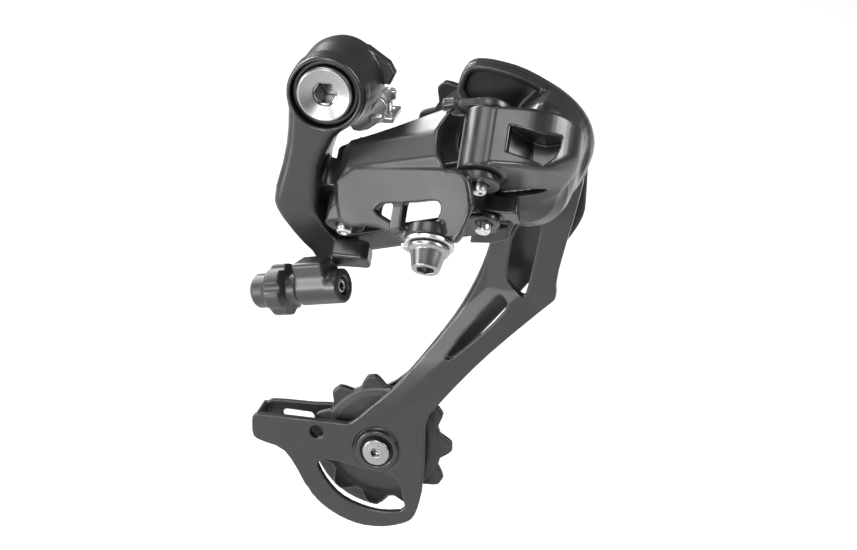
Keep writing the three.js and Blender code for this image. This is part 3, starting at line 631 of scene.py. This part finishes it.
def swept(bars, at, along):
    """The space that a link's bars sweep about a pin, in the frame of the pins."""
    def distance(p):
        total = np.full(len(p), np.inf)
        for k in range(SWING_STEPS + 1):
            angle = REST + SWING * k / SWING_STEPS
            x, y = p[:, 0] - at[0], p[:, 1] - at[1]
            local = np.stack(
                [x * math.cos(angle) + y * math.sin(angle) + along,
                 y * math.cos(angle) - x * math.sin(angle),
                 p[:, 2]],
                1,
            )
            for one in bars:
                total = np.minimum(total, one(local))
        return total

    return distance


WEB = (-9, -6.2)  # depth of the outer link's wall
REAR_LUGS = ((-18, -9.3), (3, 6.5))  # extents of the outer link's lugs along their pins
FRONT_LUGS = ((-11.6, -8.9), (11.9, 14.6))
CHANNEL = (-17, 3)  # extent of the inner link along its pins
PIN_HOLE_R = 2.6
OUTER_LUG_ROOM_R = 6.6
INNER_LUG_ROOM_R = 5.4
SMALL_BOSS_R = 4.2
outer_bars = [
    bar((-2.6, 39.2), (WEB[0] - 2, WEB[1] + 0.5), (-30, 15.5)),
    bar((-2, LONG), (WEB[0] - 1, 4.2), (11.6, 15.4)),
    bar((34, LONG), (WEB[0] - 2, 4.2), (-12.4, -8.6)),
    bar((-2, 14), (WEB[0] - 2, 4.2), (2.7, 7.3)),
    bar((-2, 14), (WEB[0] - 2, 4.2), (-18.6, -9)),
]
inner_bars = [
    bar((-5.6, LONG + 5.6), (4.3, 7.5), (-17.4, 3.4)),
    bar((0, LONG), (-5.3, 7.5), (-17.4, -14.7)),
    bar((0, LONG), (-5.3, 7.5), (0.7, 5)),
]

# ---------- hanger side ----------
STOPPER = (-2.4, 0)  # depth of the plate
TENSION_SCREW = (12.2, 6)
head = turned(
    [[0, -25.2], [3.9, -25.7], [7.9, -27], [8.6, -26.5], [8.6, -21.5], [0, -21.5]], edge=0.25
)
thread = cut(0.2, threaded(5, 1.0, -21, 9.3), rod(1.2, 8.6, 12, axis=1))
shank = rod(4.99, -22, -9, axis=1)
socket = slab(hexagon(6), -30, -16, axis=1, edge=0.15)
countersink = rod(3.7, -30, -25.1, axis=1, edge=0.2)
mounting_bolt = cut(0.15, union(0.3, head, shank, thread), socket, countersink)
piece("mounting_bolt", mounting_bolt, bolt_steel, 0.22)

lobe = outline(
    [[9.2, -6.2], [13.6, -9.6], [13.2, -12.6], [9, -18], [3.4, -19.6], [1.4, -16.8], [-4, -10]], 1
)
screw_lug = bar((8.6, 15.6), (-2.4, 9.6), (-15.9, -13.9))
stopper = union(1.2, rod(11, *STOPPER, axis=1), slab(lobe, *STOPPER, axis=1), screw_lug)
stopper = cut(0.2, stopper, rod(5.3, -5, 5, axis=1), rod(1.75, -20, -5, at=TENSION_SCREW))
piece("stopper_plate", stopper, plated_steel, 0.3)

tension_thread = threaded(1.45, 0.7, -17.4, -9.6, axis=2, depth=0.35)
tension_screw = cut(
    0.1,
    union(0.1, tension_thread, rod(2.6, -10.6, -7.6, edge=0.4)),
    bar((-0.4, 0.4), (-3, 3), (-8.5, -7), 0.05),
    bar((-3, 3), (-0.4, 0.4), (-8.5, -7), 0.05),
)
piece("b_tension_screw", shifted((*TENSION_SCREW, 0), tension_screw), plated_steel, 0.18)
circlip = cut(
    0.1,
    rod(7.4, -3.5, -2.7, axis=1, edge=0.15),
    rod(5.2, -5, 0, axis=1),
    bar((-1.6, 1.6), (-5, 0), (-9, 0)),
)
piece("b_axle_circlip", circlip, spring_steel, 0.25)

# ---------- rear knuckle ----------
barrel_profile = [[0, -24.6], [11.2, -24.6], [12.9, -10], [13, -3.8], [0, -3.8]]
barrel = turned(barrel_profile, at=(0.8, -0.8), edge=1.1)
lip = turned([[0, -26.6], [11.7, -26.6], [12.2, -20], [0, -20]], edge=0.8)
leg_points = [
    [-12, 2], [-11.4, -7.9], [-12.7, -19.5], [-16.9, -33.9], [-15.4, -38.7], [-9.5, -48.5],
    [-4.9, -53.5], [-5.3, -57.5], [7.5, -53.6], [9, -50.6], [2, -47], [-2.4, -40], [-2.2, -28.5],
    [-1.2, -20.6], [3.4, -12], [9, -5],
]
leg = slab(outline(leg_points, 1), -27, -8, axis=1, edge=3.0)
lower_slope = half_space((-0.087, -0.93, -0.36), (-10, -27, -35.6))
leg = cut(0.8, leg, lambda p: -lower_slope(p))
tab_points = [[7, 9], [9, 9.6], [15.6, 5], [17.4, 1.6], [15.8, -1.8], [9, -1]]
stop_tab = slab(tab_points, -8, -3.8, axis=1, edge=0.6)
wall_points = [[-2, 4], [18, 4], [18, -17], [9, -17], [-2, -6]]
inner_wall = slab(outline(wall_points, 1), -15.5, -9, edge=2)
foot_block = slab([[-4, 6], [5, 6.6], [6.6, 8], [6.6, 14], [-4, 14]], -26, -19.2, edge=1.4)
bosses = in_pins(union(
    1.6,
    rod(5.5, -9, 2.7),
    rod(SMALL_BOSS_R, -14.7, 0.7, at=REAR_INNER),
    bar((-14.2, 0), (-3.4, 5.5), (-6.6, 2.7)),
    bar((-14.2, 0), (7.2, 14.2), (-14.7, 0.7)),
    placed([(0, 1, 0), (0, 0, 1), (1, 0, 0)], (0, 0, 0), inner_wall),
    foot_block,
))
collar = rod(5.3, 0, 14.5, axis=1, edge=0.5)
housing = in_adjuster(union(1.5, collar, bar((-4, 4.4), (0, 11), (0, 9), 1.2)))
LIMIT_SCREWS = {"limit_screw_high": (-18, 11, -3.4), "limit_screw_low": (-18, 11, -10.6)}


def at_limit_screw(at, part):
    """A part drawn about local Y, in the place of a limit screw."""
    return in_pins(placed([(0, 1, 0), (1, 0, 0), (0, 0, 1)], at, part))


knuckle = union(2.6, barrel, leg, bosses, housing)
knuckle = union(0.8, knuckle, lip, stop_tab)
chamber = cut(0, rod(10.4, -18, 0, axis=1), rod(6.4, -30, 5, axis=1))
knuckle = cut(
    0.5,
    knuckle,
    rod(5.3, -30, 5, axis=1),
    rod(10.5, -30, -22.4, axis=1),
    rod(8.9, -30, -21, axis=1),
    chamber,
    in_pins(swept(outer_bars, (0, 0), 0)),
    in_pins(swept(inner_bars, REAR_INNER, 0)),
    in_pins(rod(PIN_HOLE_R, -25, 20)),
    in_pins(rod(PIN_HOLE_R, -20.8, 5.2, at=REAR_INNER)),
    in_pins(rod(OUTER_LUG_ROOM_R, -18.9, -9)),
    in_pins(rod(OUTER_LUG_ROOM_R, 2.7, 8.5)),
    in_pins(rod(INNER_LUG_ROOM_R, -18.8, -14.7, at=REAR_INNER)),
    in_pins(rod(INNER_LUG_ROOM_R, 0.7, 5.4, at=REAR_INNER)),
    in_adjuster(rod(2.7, -5, 20, axis=1)),
    *[at_limit_screw(at, rod(1.9, 0, 12.7, axis=1)) for at in LIMIT_SCREWS.values()],
    *[at_limit_screw(at, rod(3.1, -10, 1.6, axis=1)) for at in LIMIT_SCREWS.values()],
)
piece("b_knuckle", knuckle, painted_alloy, 0.42)
seal = cut(0.2, rod(10.2, -24.6, -22.8, axis=1, edge=0.5), rod(8.9, -30, 0, axis=1))
piece("b_axle_seal", seal, black_plastic, 0.25)

# ---------- outer link ----------
web_points = [
    [0.2, 2.4], [1.5, 3.9], [4.2, 5.1], [8.5, 5.5], [16.6, 7.2], [25.4, 9.6], [36.8, 12.9],
    [40, 14.4], [38.2, 10], [37.4, 4], [37.8, -3], [40.4, -8.4], [41, -11.6], [2.4, -11.6],
    [0.6, -4],
]


def plane(a, b, c):
    """The half-space behind the plane through three points, on the side of larger local Y."""
    a, b, c = (np.array(x, float) for x in (a, b, c))
    n = np.cross(b - a, c - a)
    return half_space(-n * np.sign(n[1]), a)


beam = common(
    0.5,
    slab(outline(web_points, 1), -11.6, WEB[1], axis=1, edge=0.8),
    plane((6, -11.1, 3), (38.4, -11.1, 3.1), (38, -6.4, 13)),
    plane((6, -11.1, 3), (38.4, -11.1, 3.1), (28.8, -10.6, -5.6)),
    plane((28.8, -10.6, -5.6), (6, -10.9, -4.5), (39, -8.6, -9)),
    plane((2, -8.6, 0), (6, -10.9, 3), (5, -10.7, -4.5)),
)
apron_points = [
    [1.4, 5], [30, 1.4], [43, -0.6], [46.6, -1.8], [48.6, -4], [49.4, -9], [49.4, -13],
    [46, -19.4], [42.6, -22.6], [39, -23], [29, -23], [25, -22], [23.2, -18.6], [13.4, -13.4],
    [3.8, -13.2], [1.0, -9],
]
window_points = [
    [14.4, -9.6], [16, -8], [18, -7.4], [28, -8.6], [35.6, -8.8], [38.8, -9.8], [38.6, -13.6],
    [33.4, -17.8], [26.6, -17], [20.8, -13.8],
]
tilt = math.radians(20)
APRON = [
    (1, 0, 0),
    (0, math.cos(tilt), math.sin(tilt)),
    (0, -math.sin(tilt), math.cos(tilt)),
]
APRON_START = (0, WEB[0], -9)
apron = cut(
    0.5,
    slab(outline(apron_points, 1), 0, 3, axis=1, edge=0.9),
    slab(outline(window_points, 1), -5, 8, axis=1, edge=0.2),
)
apron = placed(APRON, APRON_START, apron)


def lug(x, low, high, towards):
    """A round lug about a pin, with its arm to the link's wall."""
    arm = slab([[towards, WEB[0]], [x, -6], [x, 4], [towards, -2]], low, high, edge=0.5)
    return union(0.6, rod(6, low, high, at=(x, 0), edge=0.5), arm)


ANCHOR = (33.2, -0.2)  # of the cable's clamp, along the link and inward
ANCHOR_HOLE_R = 2.8
WASHER = (-29.7, -28.3)  # its extent along the pins
arms = union(
    1.0,
    bar((36, 41), (WEB[0], -2.6), FRONT_LUGS[1], 0.8),
    bar((1.5, 8), (WEB[0], -3), (-18, -9.3), 0.8),
    lug(0, *REAR_LUGS[0], 8),
    lug(0, *REAR_LUGS[1], 8),
    lug(LONG, *FRONT_LUGS[0], 37),
    lug(LONG, *FRONT_LUGS[1], 37),
)
behind_apron = placed(APRON, APRON_START, half_space((0, -1, 0), (0, 1.2, 0)))
link_solid = union(
    1.2,
    beam,
    apron,
    bar((21.2, 25.2), (-5.4, -2.6), (-25, -12), 0.5),
    rod(7, -28, -24, at=ANCHOR, edge=0.6),
    common(0.3, arms, behind_apron),
)
link_solid = cut(
    0.3,
    link_solid,
    rod(PIN_HOLE_R, -40, 30),
    rod(PIN_HOLE_R, -40, 30, at=(LONG, 0)),
    rod(ANCHOR_HOLE_R, -50, -25, at=ANCHOR),
    rod(6.1, -9.3, 3),
    rod(8.0, -8.9, 11.9, at=(LONG, 0)),
    bar((ANCHOR[0] - 9, ANCHOR[0] + 9), (-12, 12), (-50, -28), 0),
)
piece("outer_link", in_link(link_solid), painted_alloy, 0.38)
washer_tab = bar((-8.6, -5), (-2.6, 2.6), WASHER, 0.3)
washer = union(0.6, rod(7.4, *WASHER, edge=0.3), washer_tab)
washer = cut(0.1, washer, rod(ANCHOR_HOLE_R, -40, -20))
piece("cable_anchor_washer", in_link(shifted((*ANCHOR, 0), washer)), plated_steel, 0.25)
bolt_head = turned(
    [[0, -37.1], [4.1, -37.1], [5.2, -32], [6.2, -31.2], [6.2, -30], [0, -30]], axis=2, edge=0.35
)
anchor_bolt = union(0.3, bolt_head, rod(2.5, -31, -25.3))
anchor_bolt = cut(0.15, anchor_bolt, slab(hexagon(5), -50, -34.1, edge=0.1))
piece("cable_anchor_bolt", in_link(shifted((*ANCHOR, 0), anchor_bolt)), bright_steel, 0.22)

# ---------- inner link ----------
SIDE = lane(4.8, (0, 0), (LONG, 0))
channel = union(
    0.8,
    slab(SIDE, -17, -15, edge=0.4),
    slab(SIDE, 1, 3, edge=0.4),
    bar((-1, LONG + 1), (4.6, 6.6), CHANNEL, 0.5),
)
channel = cut(
    0.3,
    channel,
    rod(PIN_HOLE_R, -40, 30),
    rod(PIN_HOLE_R, -40, 30, at=(LONG, 0)),
    bar((3.6, 34), (2, 9), (-12.6, -1.4), 1.5),
)
piece("inner_link", in_inner_link(channel), painted_steel, 0.38)

# ---------- front knuckle ----------
PIVOT = (61, -26)  # of the cage
cowl_points = [
    [36, -4], [36.4, 0], [38.2, 3.9], [40.6, 5.4], [43.6, 5.6], [47.6, 5.2], [54.4, 3.7],
    [61.7, 0.4], [68, -3.6], [72.8, -7.8], [75.8, -12.4], [77.3, -17.6], [77, -22], [75.2, -26.6],
    [71.6, -31.6], [64.7, -38.4], [58.9, -42.5], [54, -44.9], [50, -46], [42.4, -46.4], [42, -42],
    [47, -36], [46, -24], [42, -12],
]
cowl_line = outline(cowl_points, 1)
cowl = slab(cowl_line, -2.6, 2, axis=1, edge=0.8)
RIM = 2.0  # width of the cowl's raised edge
inside_rim = slab(lambda x, z: cowl_line(x, z) + RIM, -9, -2.0, axis=1, edge=0.3)
rim = cut(0.6, slab(cowl_line, -5.2, 2, axis=1, edge=0.7), inside_rim)
body_line = outline([
    [46, -14], [54, -11], [59, -4], [64, -0.6], [68, -1.6], [72, -5], [75.4, -10], [76.8, -16],
    [75.4, -22], [71, -28.6], [65, -34.6], [58.6, -38.2], [52, -39.8], [47, -38.4], [44, -30],
    [43, -20],
], 1)
main_body = slab(body_line, -23.5, 2, axis=1, edge=8)
dome_profile = [[0, -30], [5, -29.3], [9.6, -26.8], [12.4, -22.8], [13, -18], [13, 2], [0, 2]]
dome = turned(dome_profile, at=PIVOT, edge=1.0)
block = slab(outline([
    [43, -28.4], [52, -28.8], [59, -28.4], [65, -26], [69.5, -21], [71, -15], [68, -8], [50, -8],
    [43, -14],
], 2), -8, 11.6, edge=1.6)
block = common(3.0, block, half_space((0.65, 0, -0.76), (62.5, 0, -8.6)))
block = in_pins(union(0.8, block, rod(7.4, -8.6, 11.6, at=FRONT, edge=1.0)))
lower_lug = slab(
    [[44, -40], [56, -40], [55, -44.6], [50, -46], [43, -46.4]], -20, 0, axis=1, edge=1.2
)
front_bosses = in_pins(union(
    1.0,
    rod(SMALL_BOSS_R, -14.7, -6.3, at=FRONT_INNER),
    bar((FRONT[0], FRONT[0] + 8), (FRONT[1] - 4.5, FRONT[1] + 4.5), (-6, 11.6)),
    bar((FRONT[0], FRONT[0] + 10), (FRONT_INNER[1] - 4, FRONT_INNER[1] + 4), (-14.7, -6.3)),
))
shell = union(3.0, main_body, dome, lower_lug)
shell = union(4.0, shell, cowl)
shell = union(4.0, shell, block)
shell = union(1.0, shell, rim, front_bosses)
window_corners = [
    [50.9, 5.1], [60.7, 3.3], [65.8, 4.3], [65.6, 1], [64.6, -3], [62.1, -6.2], [50.9, -3.3],
]
window = slab(window_corners, -40, -20, axis=1, edge=0.3)
recess = in_pins(common(0.3, window, half_space((-0.75, 0.66, 0), (57, -20, 0))))
spring_room = union(
    0,
    cut(0, rod(10.2, -17, 5, at=PIVOT, axis=1), rod(4.8, -30, -17, at=PIVOT, axis=1)),
    rod(4.8, -22, 5, at=PIVOT, axis=1),
)
slit_points = [
    [52, -25.4], [57, -24], [63, -23.2], [69.4, -22.8], [66, -24.6], [60, -25.8], [54, -26.8],
]
slit = slab(outline(slit_points, 1), -40, -27.4, axis=1, edge=0.2)
shell = cut(
    0.6,
    shell,
    spring_room,
    recess,
    slit,
    in_pins(swept(outer_bars, FRONT, LONG)),
    in_pins(swept(inner_bars, FRONT_INNER, LONG)),
    in_pins(rod(PIN_HOLE_R, -40, 19, at=FRONT)),
    in_pins(rod(PIN_HOLE_R, -40, 19, at=FRONT_INNER)),
    in_pins(rod(OUTER_LUG_ROOM_R, -19.6, -8.6, at=FRONT)),
    in_pins(rod(OUTER_LUG_ROOM_R, 11.6, 18, at=FRONT)),
    in_pins(rod(INNER_LUG_ROOM_R, -26, -14.7, at=FRONT_INNER)),
    in_pins(rod(INNER_LUG_ROOM_R, -6.3, 6, at=FRONT_INNER)),
)
piece("p_knuckle", shell, painted_alloy, 0.42)

# ---------- cage ----------
GUIDE = (43, -24)
TENSION = (8.3, -129.5)
STOP_PIN = (46.3, -49.6)
PULLEY_Y = 12
PULLEY_HOLE_R = 2.7
OUTER_PLATE = (3.2, 6.6)  # depths of the two plates
INNER_PLATE = (17.6, 19.4)
THROUGH_OUTER = (0, 10)  # depths of the tools that pierce them
THROUGH_INNER = (10, 25)
arm_line = outline([
    [48.1, -46.4], [46.4, -47.6], [43.3, -62.4], [38.3, -74.4], [31.3, -84.7], [21.1, -98],
    [14.4, -106.6], [7, -113.8], [0, -120.6], [-2, -121.2], [-28.7, -120.3], [-32.9, -120.6],
    [-33.4, -122], [-33.4, -128], [-31.3, -129.6], [-23.5, -131.6], [-19.7, -136.4],
    [-14.8, -146.2], [-11.2, -150.4], [-6.4, -153.8], [-0.5, -156.4], [5.5, -157.4], [12, -156.8],
    [18.2, -154.6], [20.2, -152.6], [21.6, -149], [23.2, -141.8], [24, -127.7], [24, -117.6],
    [27.6, -112.9], [36.5, -102.1], [46.5, -91.1], [64.6, -73.6], [66, -71.6], [65.8, -65.8],
    [69, -52.5], [71.2, -44.5], [74.4, -30], [74, -18], [62, -12], [48, -34],
], 1)
windows = [outline(points, 1) for points in (
    [
        [52.1, -50.9], [50.3, -62.9], [50.3, -66.6], [51.8, -69.1], [55.4, -72], [56.4, -71.3],
        [60.1, -53.7], [61.3, -43.8], [57.8, -45.4],
    ],
    [
        [47.8, -72.3], [49.4, -73], [51.2, -75.5], [44.5, -84.1], [36.4, -91.8], [31.9, -95.7],
        [30.8, -95], [36.4, -86.4], [45.9, -74.6],
    ],
    [
        [-12.2, -135.3], [-9.9, -140.6], [-6.3, -145.4], [-2.2, -148.5], [3.8, -150.7],
        [9.7, -151.6], [17.5, -150.5], [16.6, -145], [15.2, -140.4], [12.6, -138], [7.8, -137.4],
        [2, -136.4], [-8, -134.2],
    ],
)]


def arm_shape(x, z):
    """The outer plate's outline, with its windows open."""
    total = np.minimum(arm_line(x, z), lane(9, GUIDE, (PIVOT[0] - 4, PIVOT[1]))(x, z))
    total = np.minimum(total, np.hypot(x - PIVOT[0], z - PIVOT[1]) - 14)
    for window_line in windows:
        total = np.maximum(total, -window_line(x, z))
    return total


RIDGE = (57, -70.5)
FACET_SLOPE = 0.26
FACETS_FROM, FACETS_OVER = -118, 22  # height where the facets begin, and over which they grow
FACE_Y = 3.4  # depth of the ridge


def arm_face(p):
    """The faceted front of the arm: it falls away on both sides of its ridge."""
    x, z = p[:, 0], p[:, 2]
    past_ridge = ((x - RIDGE[0]) - (z - RIDGE[1])) * math.sqrt(0.5)
    short_of_ridge = np.minimum(-past_ridge, (RIDGE[0] - x) * math.sqrt(0.5))
    grown = np.clip((z - FACETS_FROM) / FACETS_OVER, 0, 1)
    right = np.minimum(past_ridge, RIDGE[1] - z) * FACET_SLOPE
    left = (short_of_ridge - 1) * FACET_SLOPE * grown
    fall = np.clip(np.maximum(right, left), 0, 0.5 + 1.7 * grown)
    return (FACE_Y + fall + 0.4 * (1 - grown) - p[:, 1]) * 0.95


outer_plate = common(0.3, slab(arm_shape, *OUTER_PLATE, axis=1, edge=0.7), arm_face)
outer_plate = union(0.5, outer_plate, rod(7, *OUTER_PLATE, at=TENSION, axis=1, edge=0.4))
groove = cut(0, rod(8.1, 0, 4.5, at=TENSION, axis=1), rod(7.4, -1, 10, at=TENSION, axis=1))
outer_plate = cut(
    0.2,
    outer_plate,
    rod(4.6, *THROUGH_OUTER, at=PIVOT, axis=1),
    rod(PULLEY_HOLE_R, *THROUGH_OUTER, at=GUIDE, axis=1),
    rod(PULLEY_HOLE_R, *THROUGH_OUTER, at=TENSION, axis=1),
    rod(5.3, 0, 3.7, at=TENSION, axis=1),
    rod(2.3, *THROUGH_OUTER, at=(-11.7, -124.8), axis=1),
    rod(1.5, *THROUGH_OUTER, at=STOP_PIN, axis=1),
    groove,
)
piece("outer_cage_plate", outer_plate, painted_alloy, 0.42)

inner_line = outline([
    [60, -10.5], [68, -13], [72, -20], [73, -30], [72.6, -43.4], [72.2, -48.2], [70.3, -52.5],
    [66.9, -57.8], [60, -66], [54, -74], [46.5, -83.4], [36, -96], [26, -108], [21, -118],
    [21, -134], [17, -142], [9.5, -152], [5.5, -156], [-0.5, -155], [-6.6, -152], [-11.4, -147.5],
    [-15, -141.5], [-18, -134], [-22, -130.5], [-30, -129.6], [-33, -128], [-33.4, -125.7],
    [-32, -121.9], [-30, -120.8], [-12.2, -121.1], [-3, -119], [5, -114.5], [14, -109],
    [20.5, -100.5], [27, -91.5], [32, -84], [37, -74.5], [40.5, -66], [42.5, -59], [44, -52],
    [40, -46], [32, -36], [29, -24], [34, -14], [44, -10],
], 1)
inner_plate = union(
    0.8,
    slab(inner_line, *INNER_PLATE, axis=1, edge=0.5),
    bar((-33.4, -31.8), (6.9, 19.4), (-128.2, -122), 0.6),
)
opening_points = [[47, -22], [60, -20], [62, -33], [55, -40], [49, -34]]
inner_plate = cut(
    0.3,
    inner_plate,
    slab(lane(1.6, (-25, -125.6), (-17.6, -126)), *THROUGH_INNER, axis=1),
    rod(2, *THROUGH_INNER, at=(57.4, -50.6), axis=1),
    rod(PULLEY_HOLE_R, *THROUGH_INNER, at=GUIDE, axis=1),
    rod(PULLEY_HOLE_R, *THROUGH_INNER, at=TENSION, axis=1),
    slab(outline(opening_points, 1), *THROUGH_INNER, axis=1),
)
piece("inner_cage_plate", inner_plate, painted_steel, 0.42)

# ---------- pulleys ----------
TEETH = 11
TIP_R, ROOT_R = 23.2, 19.7
STEEPEST = 0.66  # makes up for the steep sides of the teeth


def toothed(x, z):
    wave = np.clip(1.25 * np.cos(TEETH * np.arctan2(z, x)), -1, 1)
    middle, half = (TIP_R + ROOT_R) / 2, (TIP_R - ROOT_R) / 2
    return (np.hypot(x, z) - middle - half * wave) * STEEPEST


def at_pulley(middle, part):
    """A part drawn about a pulley's middle, in the object's frame."""
    return shifted((middle[0], PULLEY_Y, middle[1]), part)


wheel_profile = [
    [0, -3], [8.8, -3], [10.5, -2.3], [16.5, -1.8], [18.6, -1.3], [18.6, 1.3], [16.5, 1.8],
    [10.5, 2.3], [8.8, 3], [0, 3],
]
wheel = union(0.6, slab(toothed, -1.2, 1.2, axis=1, edge=0.55), turned(wheel_profile, edge=0.2))
wheel = cut(0.3, wheel, rod(3.7, -5, 5, axis=1))
bushing = cut(0.1, rod(3.5, -4.9, 4.9, axis=1), rod(2.7, -6, 6, axis=1))
cap_depths = {"outer": (-4.8, -3.6), "inner": (3.6, 4.8)}
for prefix, middle, head_y in (("guide", GUIDE, 2.8), ("tension", TENSION, 1.9)):
    piece(prefix + "_pulley", at_pulley(middle, wheel), pulley_plastic, 0.4)
    piece(prefix + "_pulley_bushing", at_pulley(middle, bushing), bushing_bronze, 0.3)
    for side, depths in cap_depths.items():
        cap = cut(0.2, rod(8.6, *depths, axis=1, edge=0.4), rod(3.8, -9, 9, axis=1))
        piece(f"{prefix}_dust_cap_{side}", at_pulley(middle, cap), plated_steel, 0.35)
    front = head_y - PULLEY_Y
    bolt = union(
        0.2,
        threaded(2.5, 0.8, front, 7.8, depth=0.35),
        rod(2.45, front, 3, axis=1),
        rod(4.4, front, front + 1.1, axis=1, edge=0.35),
    )
    bolt = cut(0.1, bolt, slab(hexagon(3), front - 2, front + 2.2, axis=1, edge=0.1))
    piece(prefix + "_pulley_bolt", at_pulley(middle, bolt), bright_steel, 0.2)

stop_pin = union(
    0.2,
    rod(1.3, -0.4, 7, at=STOP_PIN, axis=1),
    rod(2.2, -3.4, 3.6, at=STOP_PIN, axis=1),
)
piece("cage_stop_pin", stop_pin, plated_steel, 0.25)
axle = union(
    0.2,
    rod(4.4, -21, 7.4, at=PIVOT, axis=1),
    rod(6.6, 6.9, 8, at=PIVOT, axis=1, edge=0.5),
)
piece("p_axle", axle, plated_steel, 0.35)
axle_seal = cut(
    0.2,
    rod(12.4, 2.4, 3.6, at=PIVOT, axis=1),
    rod(5.2, 0, 9, at=PIVOT, axis=1),
)
piece("p_axle_seal", axle_seal, black_plastic, 0.35)

# ---------- pins, clips and small screws ----------
def ball(p):
    return np.linalg.norm(p, axis=1) - 1.2


pins = {
    "rear_outer": ((0, 0), -18.6, 6.5),
    "rear_inner": (REAR_INNER, -17.8, 3),
    "front_outer": (FRONT, -12, 14.6),
    "front_inner": (FRONT_INNER, -17.8, 3),
}
for name, (at, low, high) in pins.items():
    dimple = shifted((0, 0, low - 2.7), ball)
    rivet = cut(0.2, rod(2.3, low - 2.2, high + 1.5, edge=0.9), dimple)
    piece(name + "_pin", in_pins(shifted((*at, 0), rivet)), plated_steel, 0.25)
    clip = cut(
        0.1,
        rod(4, high + 0.3, high + 1, edge=0.2),
        rod(2.5, high - 1, high + 3),
        bar((-5, 0), (-0.9, 0.9), (high - 1, high + 3), 0),
    )
    piece(name + "_pin_clip", in_pins(shifted((*at, 0), clip)), spring_steel, 0.25)

cross = [
    bar((-1.9, 1.9), (-3, -0.9), (-0.35, 0.35), 0.1),
    bar((-0.35, 0.35), (-3, -0.9), (-1.9, 1.9), 0.1),
]
screw_head = rod(2.7, -1.7, 0.5, axis=1, edge=0.4)
screw = cut(0.1, union(0.1, threaded(1.6, 0.7, -0.5, 11.9, depth=0.3), screw_head), *cross)
for node, at in LIMIT_SCREWS.items():
    piece(node, at_limit_screw(at, screw), plated_steel, 0.2)

# ---------- barrel adjuster ----------
knob = turned([
    [0, -16.6], [4.3, -16.6], [5.3, -15.4], [5.3, -11.6], [7.9, -9.4], [7.9, -4.6], [4.9, -3.4],
    [4.6, -0.4], [0, -0.4],
], edge=0.4)
FLUTE_CIRCLE_R = 8.7
flutes = []
for k in range(6):
    angle = k * math.tau / 6 + 0.35
    centre = (FLUTE_CIRCLE_R * math.cos(angle), FLUTE_CIRCLE_R * math.sin(angle))
    flutes.append(rod(1.9, -13, -3, at=centre, axis=1))
knob = cut(
    0.5,
    knob,
    *flutes,
    rod(1.5, -20, 5, axis=1),
    rod(2.7, -12, 5, axis=1),
    rod(4, -9.4, 5, axis=1),
)
piece("adjuster_knob", in_adjuster(knob), knob_plastic, 0.28)
stem = cut(0.1, threaded(2.3, 0.8, -11.6, 13.9, depth=0.3), rod(1.2, -20, 20, axis=1))
piece("adjuster_stem", in_adjuster(stem), plated_steel, 0.22)


# ---------- springs ----------
STEPS_PER_TURN = 48
WIRE_SIDES = 14


def coil(node, to_frame, radius, wire, low, high, turns, finish):
    """A coil of round wire about local Z; to_frame takes its points to the object's frame."""
    steps, sides = int(turns * STEPS_PER_TURN), WIRE_SIDES
    t = np.linspace(0, 1, steps + 1)
    angle = math.tau * turns * t
    height = low + (high - low) * t
    centre = np.stack([radius * np.cos(angle), radius * np.sin(angle), height], 1)
    along = np.gradient(centre, axis=0)
    along /= np.linalg.norm(along, axis=1, keepdims=True)
    out = np.stack([np.cos(angle), np.sin(angle), 0 * angle], 1)
    up = np.cross(along, out)
    around = np.linspace(0, math.tau, sides, endpoint=False)[:, None]
    rim = np.cos(around) * out[:, None] + np.sin(around) * up[:, None]
    points = centre[:, None] + wire * rim
    points = np.concatenate([points.reshape(-1, 3), centre[:1], centre[-1:]])
    here = np.arange(sides)
    after = (here + 1) % sides
    quads = np.concatenate([
        np.stack([k * sides + here, k * sides + after, (k + 1) * sides + after,
                  (k + 1) * sides + here], 1)
        for k in range(steps)
    ])
    first, last = len(points) - 2, len(points) - 1
    ends = [
        np.stack([np.full(sides, first), after, here], 1),
        np.stack([np.full(sides, last), steps * sides + here, steps * sides + after], 1),
    ]
    triangles = np.concatenate([quads[:, [0, 1, 2]], quads[:, [0, 2, 3]], *ends])
    return fitted(mesh_from(node + "_look", to_frame(points), triangles), node, finish)


def along_y(x, y, z):
    """Turns a coil's axis to Y and moves it."""
    return lambda p: np.stack([p[:, 0] + x, p[:, 2] + y, -p[:, 1] + z], 1)


def in_inner_link_at_front(p):
    return INNER_START + (p + np.array([LONG, 0, 0])) @ np.array(LINK)


def in_knob(p):
    return np.array(ADJUSTER_START) + along_y(0, -8.4, 0)(p) @ np.array(ADJUSTER)


coil("b_spring", along_y(0, -16.4, 0), 8.4, 1.1, 0, 11.2, 3.5, spring_steel)
coil("p_spring", along_y(PIVOT[0], -15.4, PIVOT[1]), 7.6, 1.2, 0, 13.4, 3.5, spring_steel)
coil("return_spring", in_inner_link_at_front, 3.5, 0.6, -5.1, 0, 3.5, spring_steel)
coil("adjuster_spring", in_knob, 3.2, 0.4, 0, 6.4, 3, spring_steel)
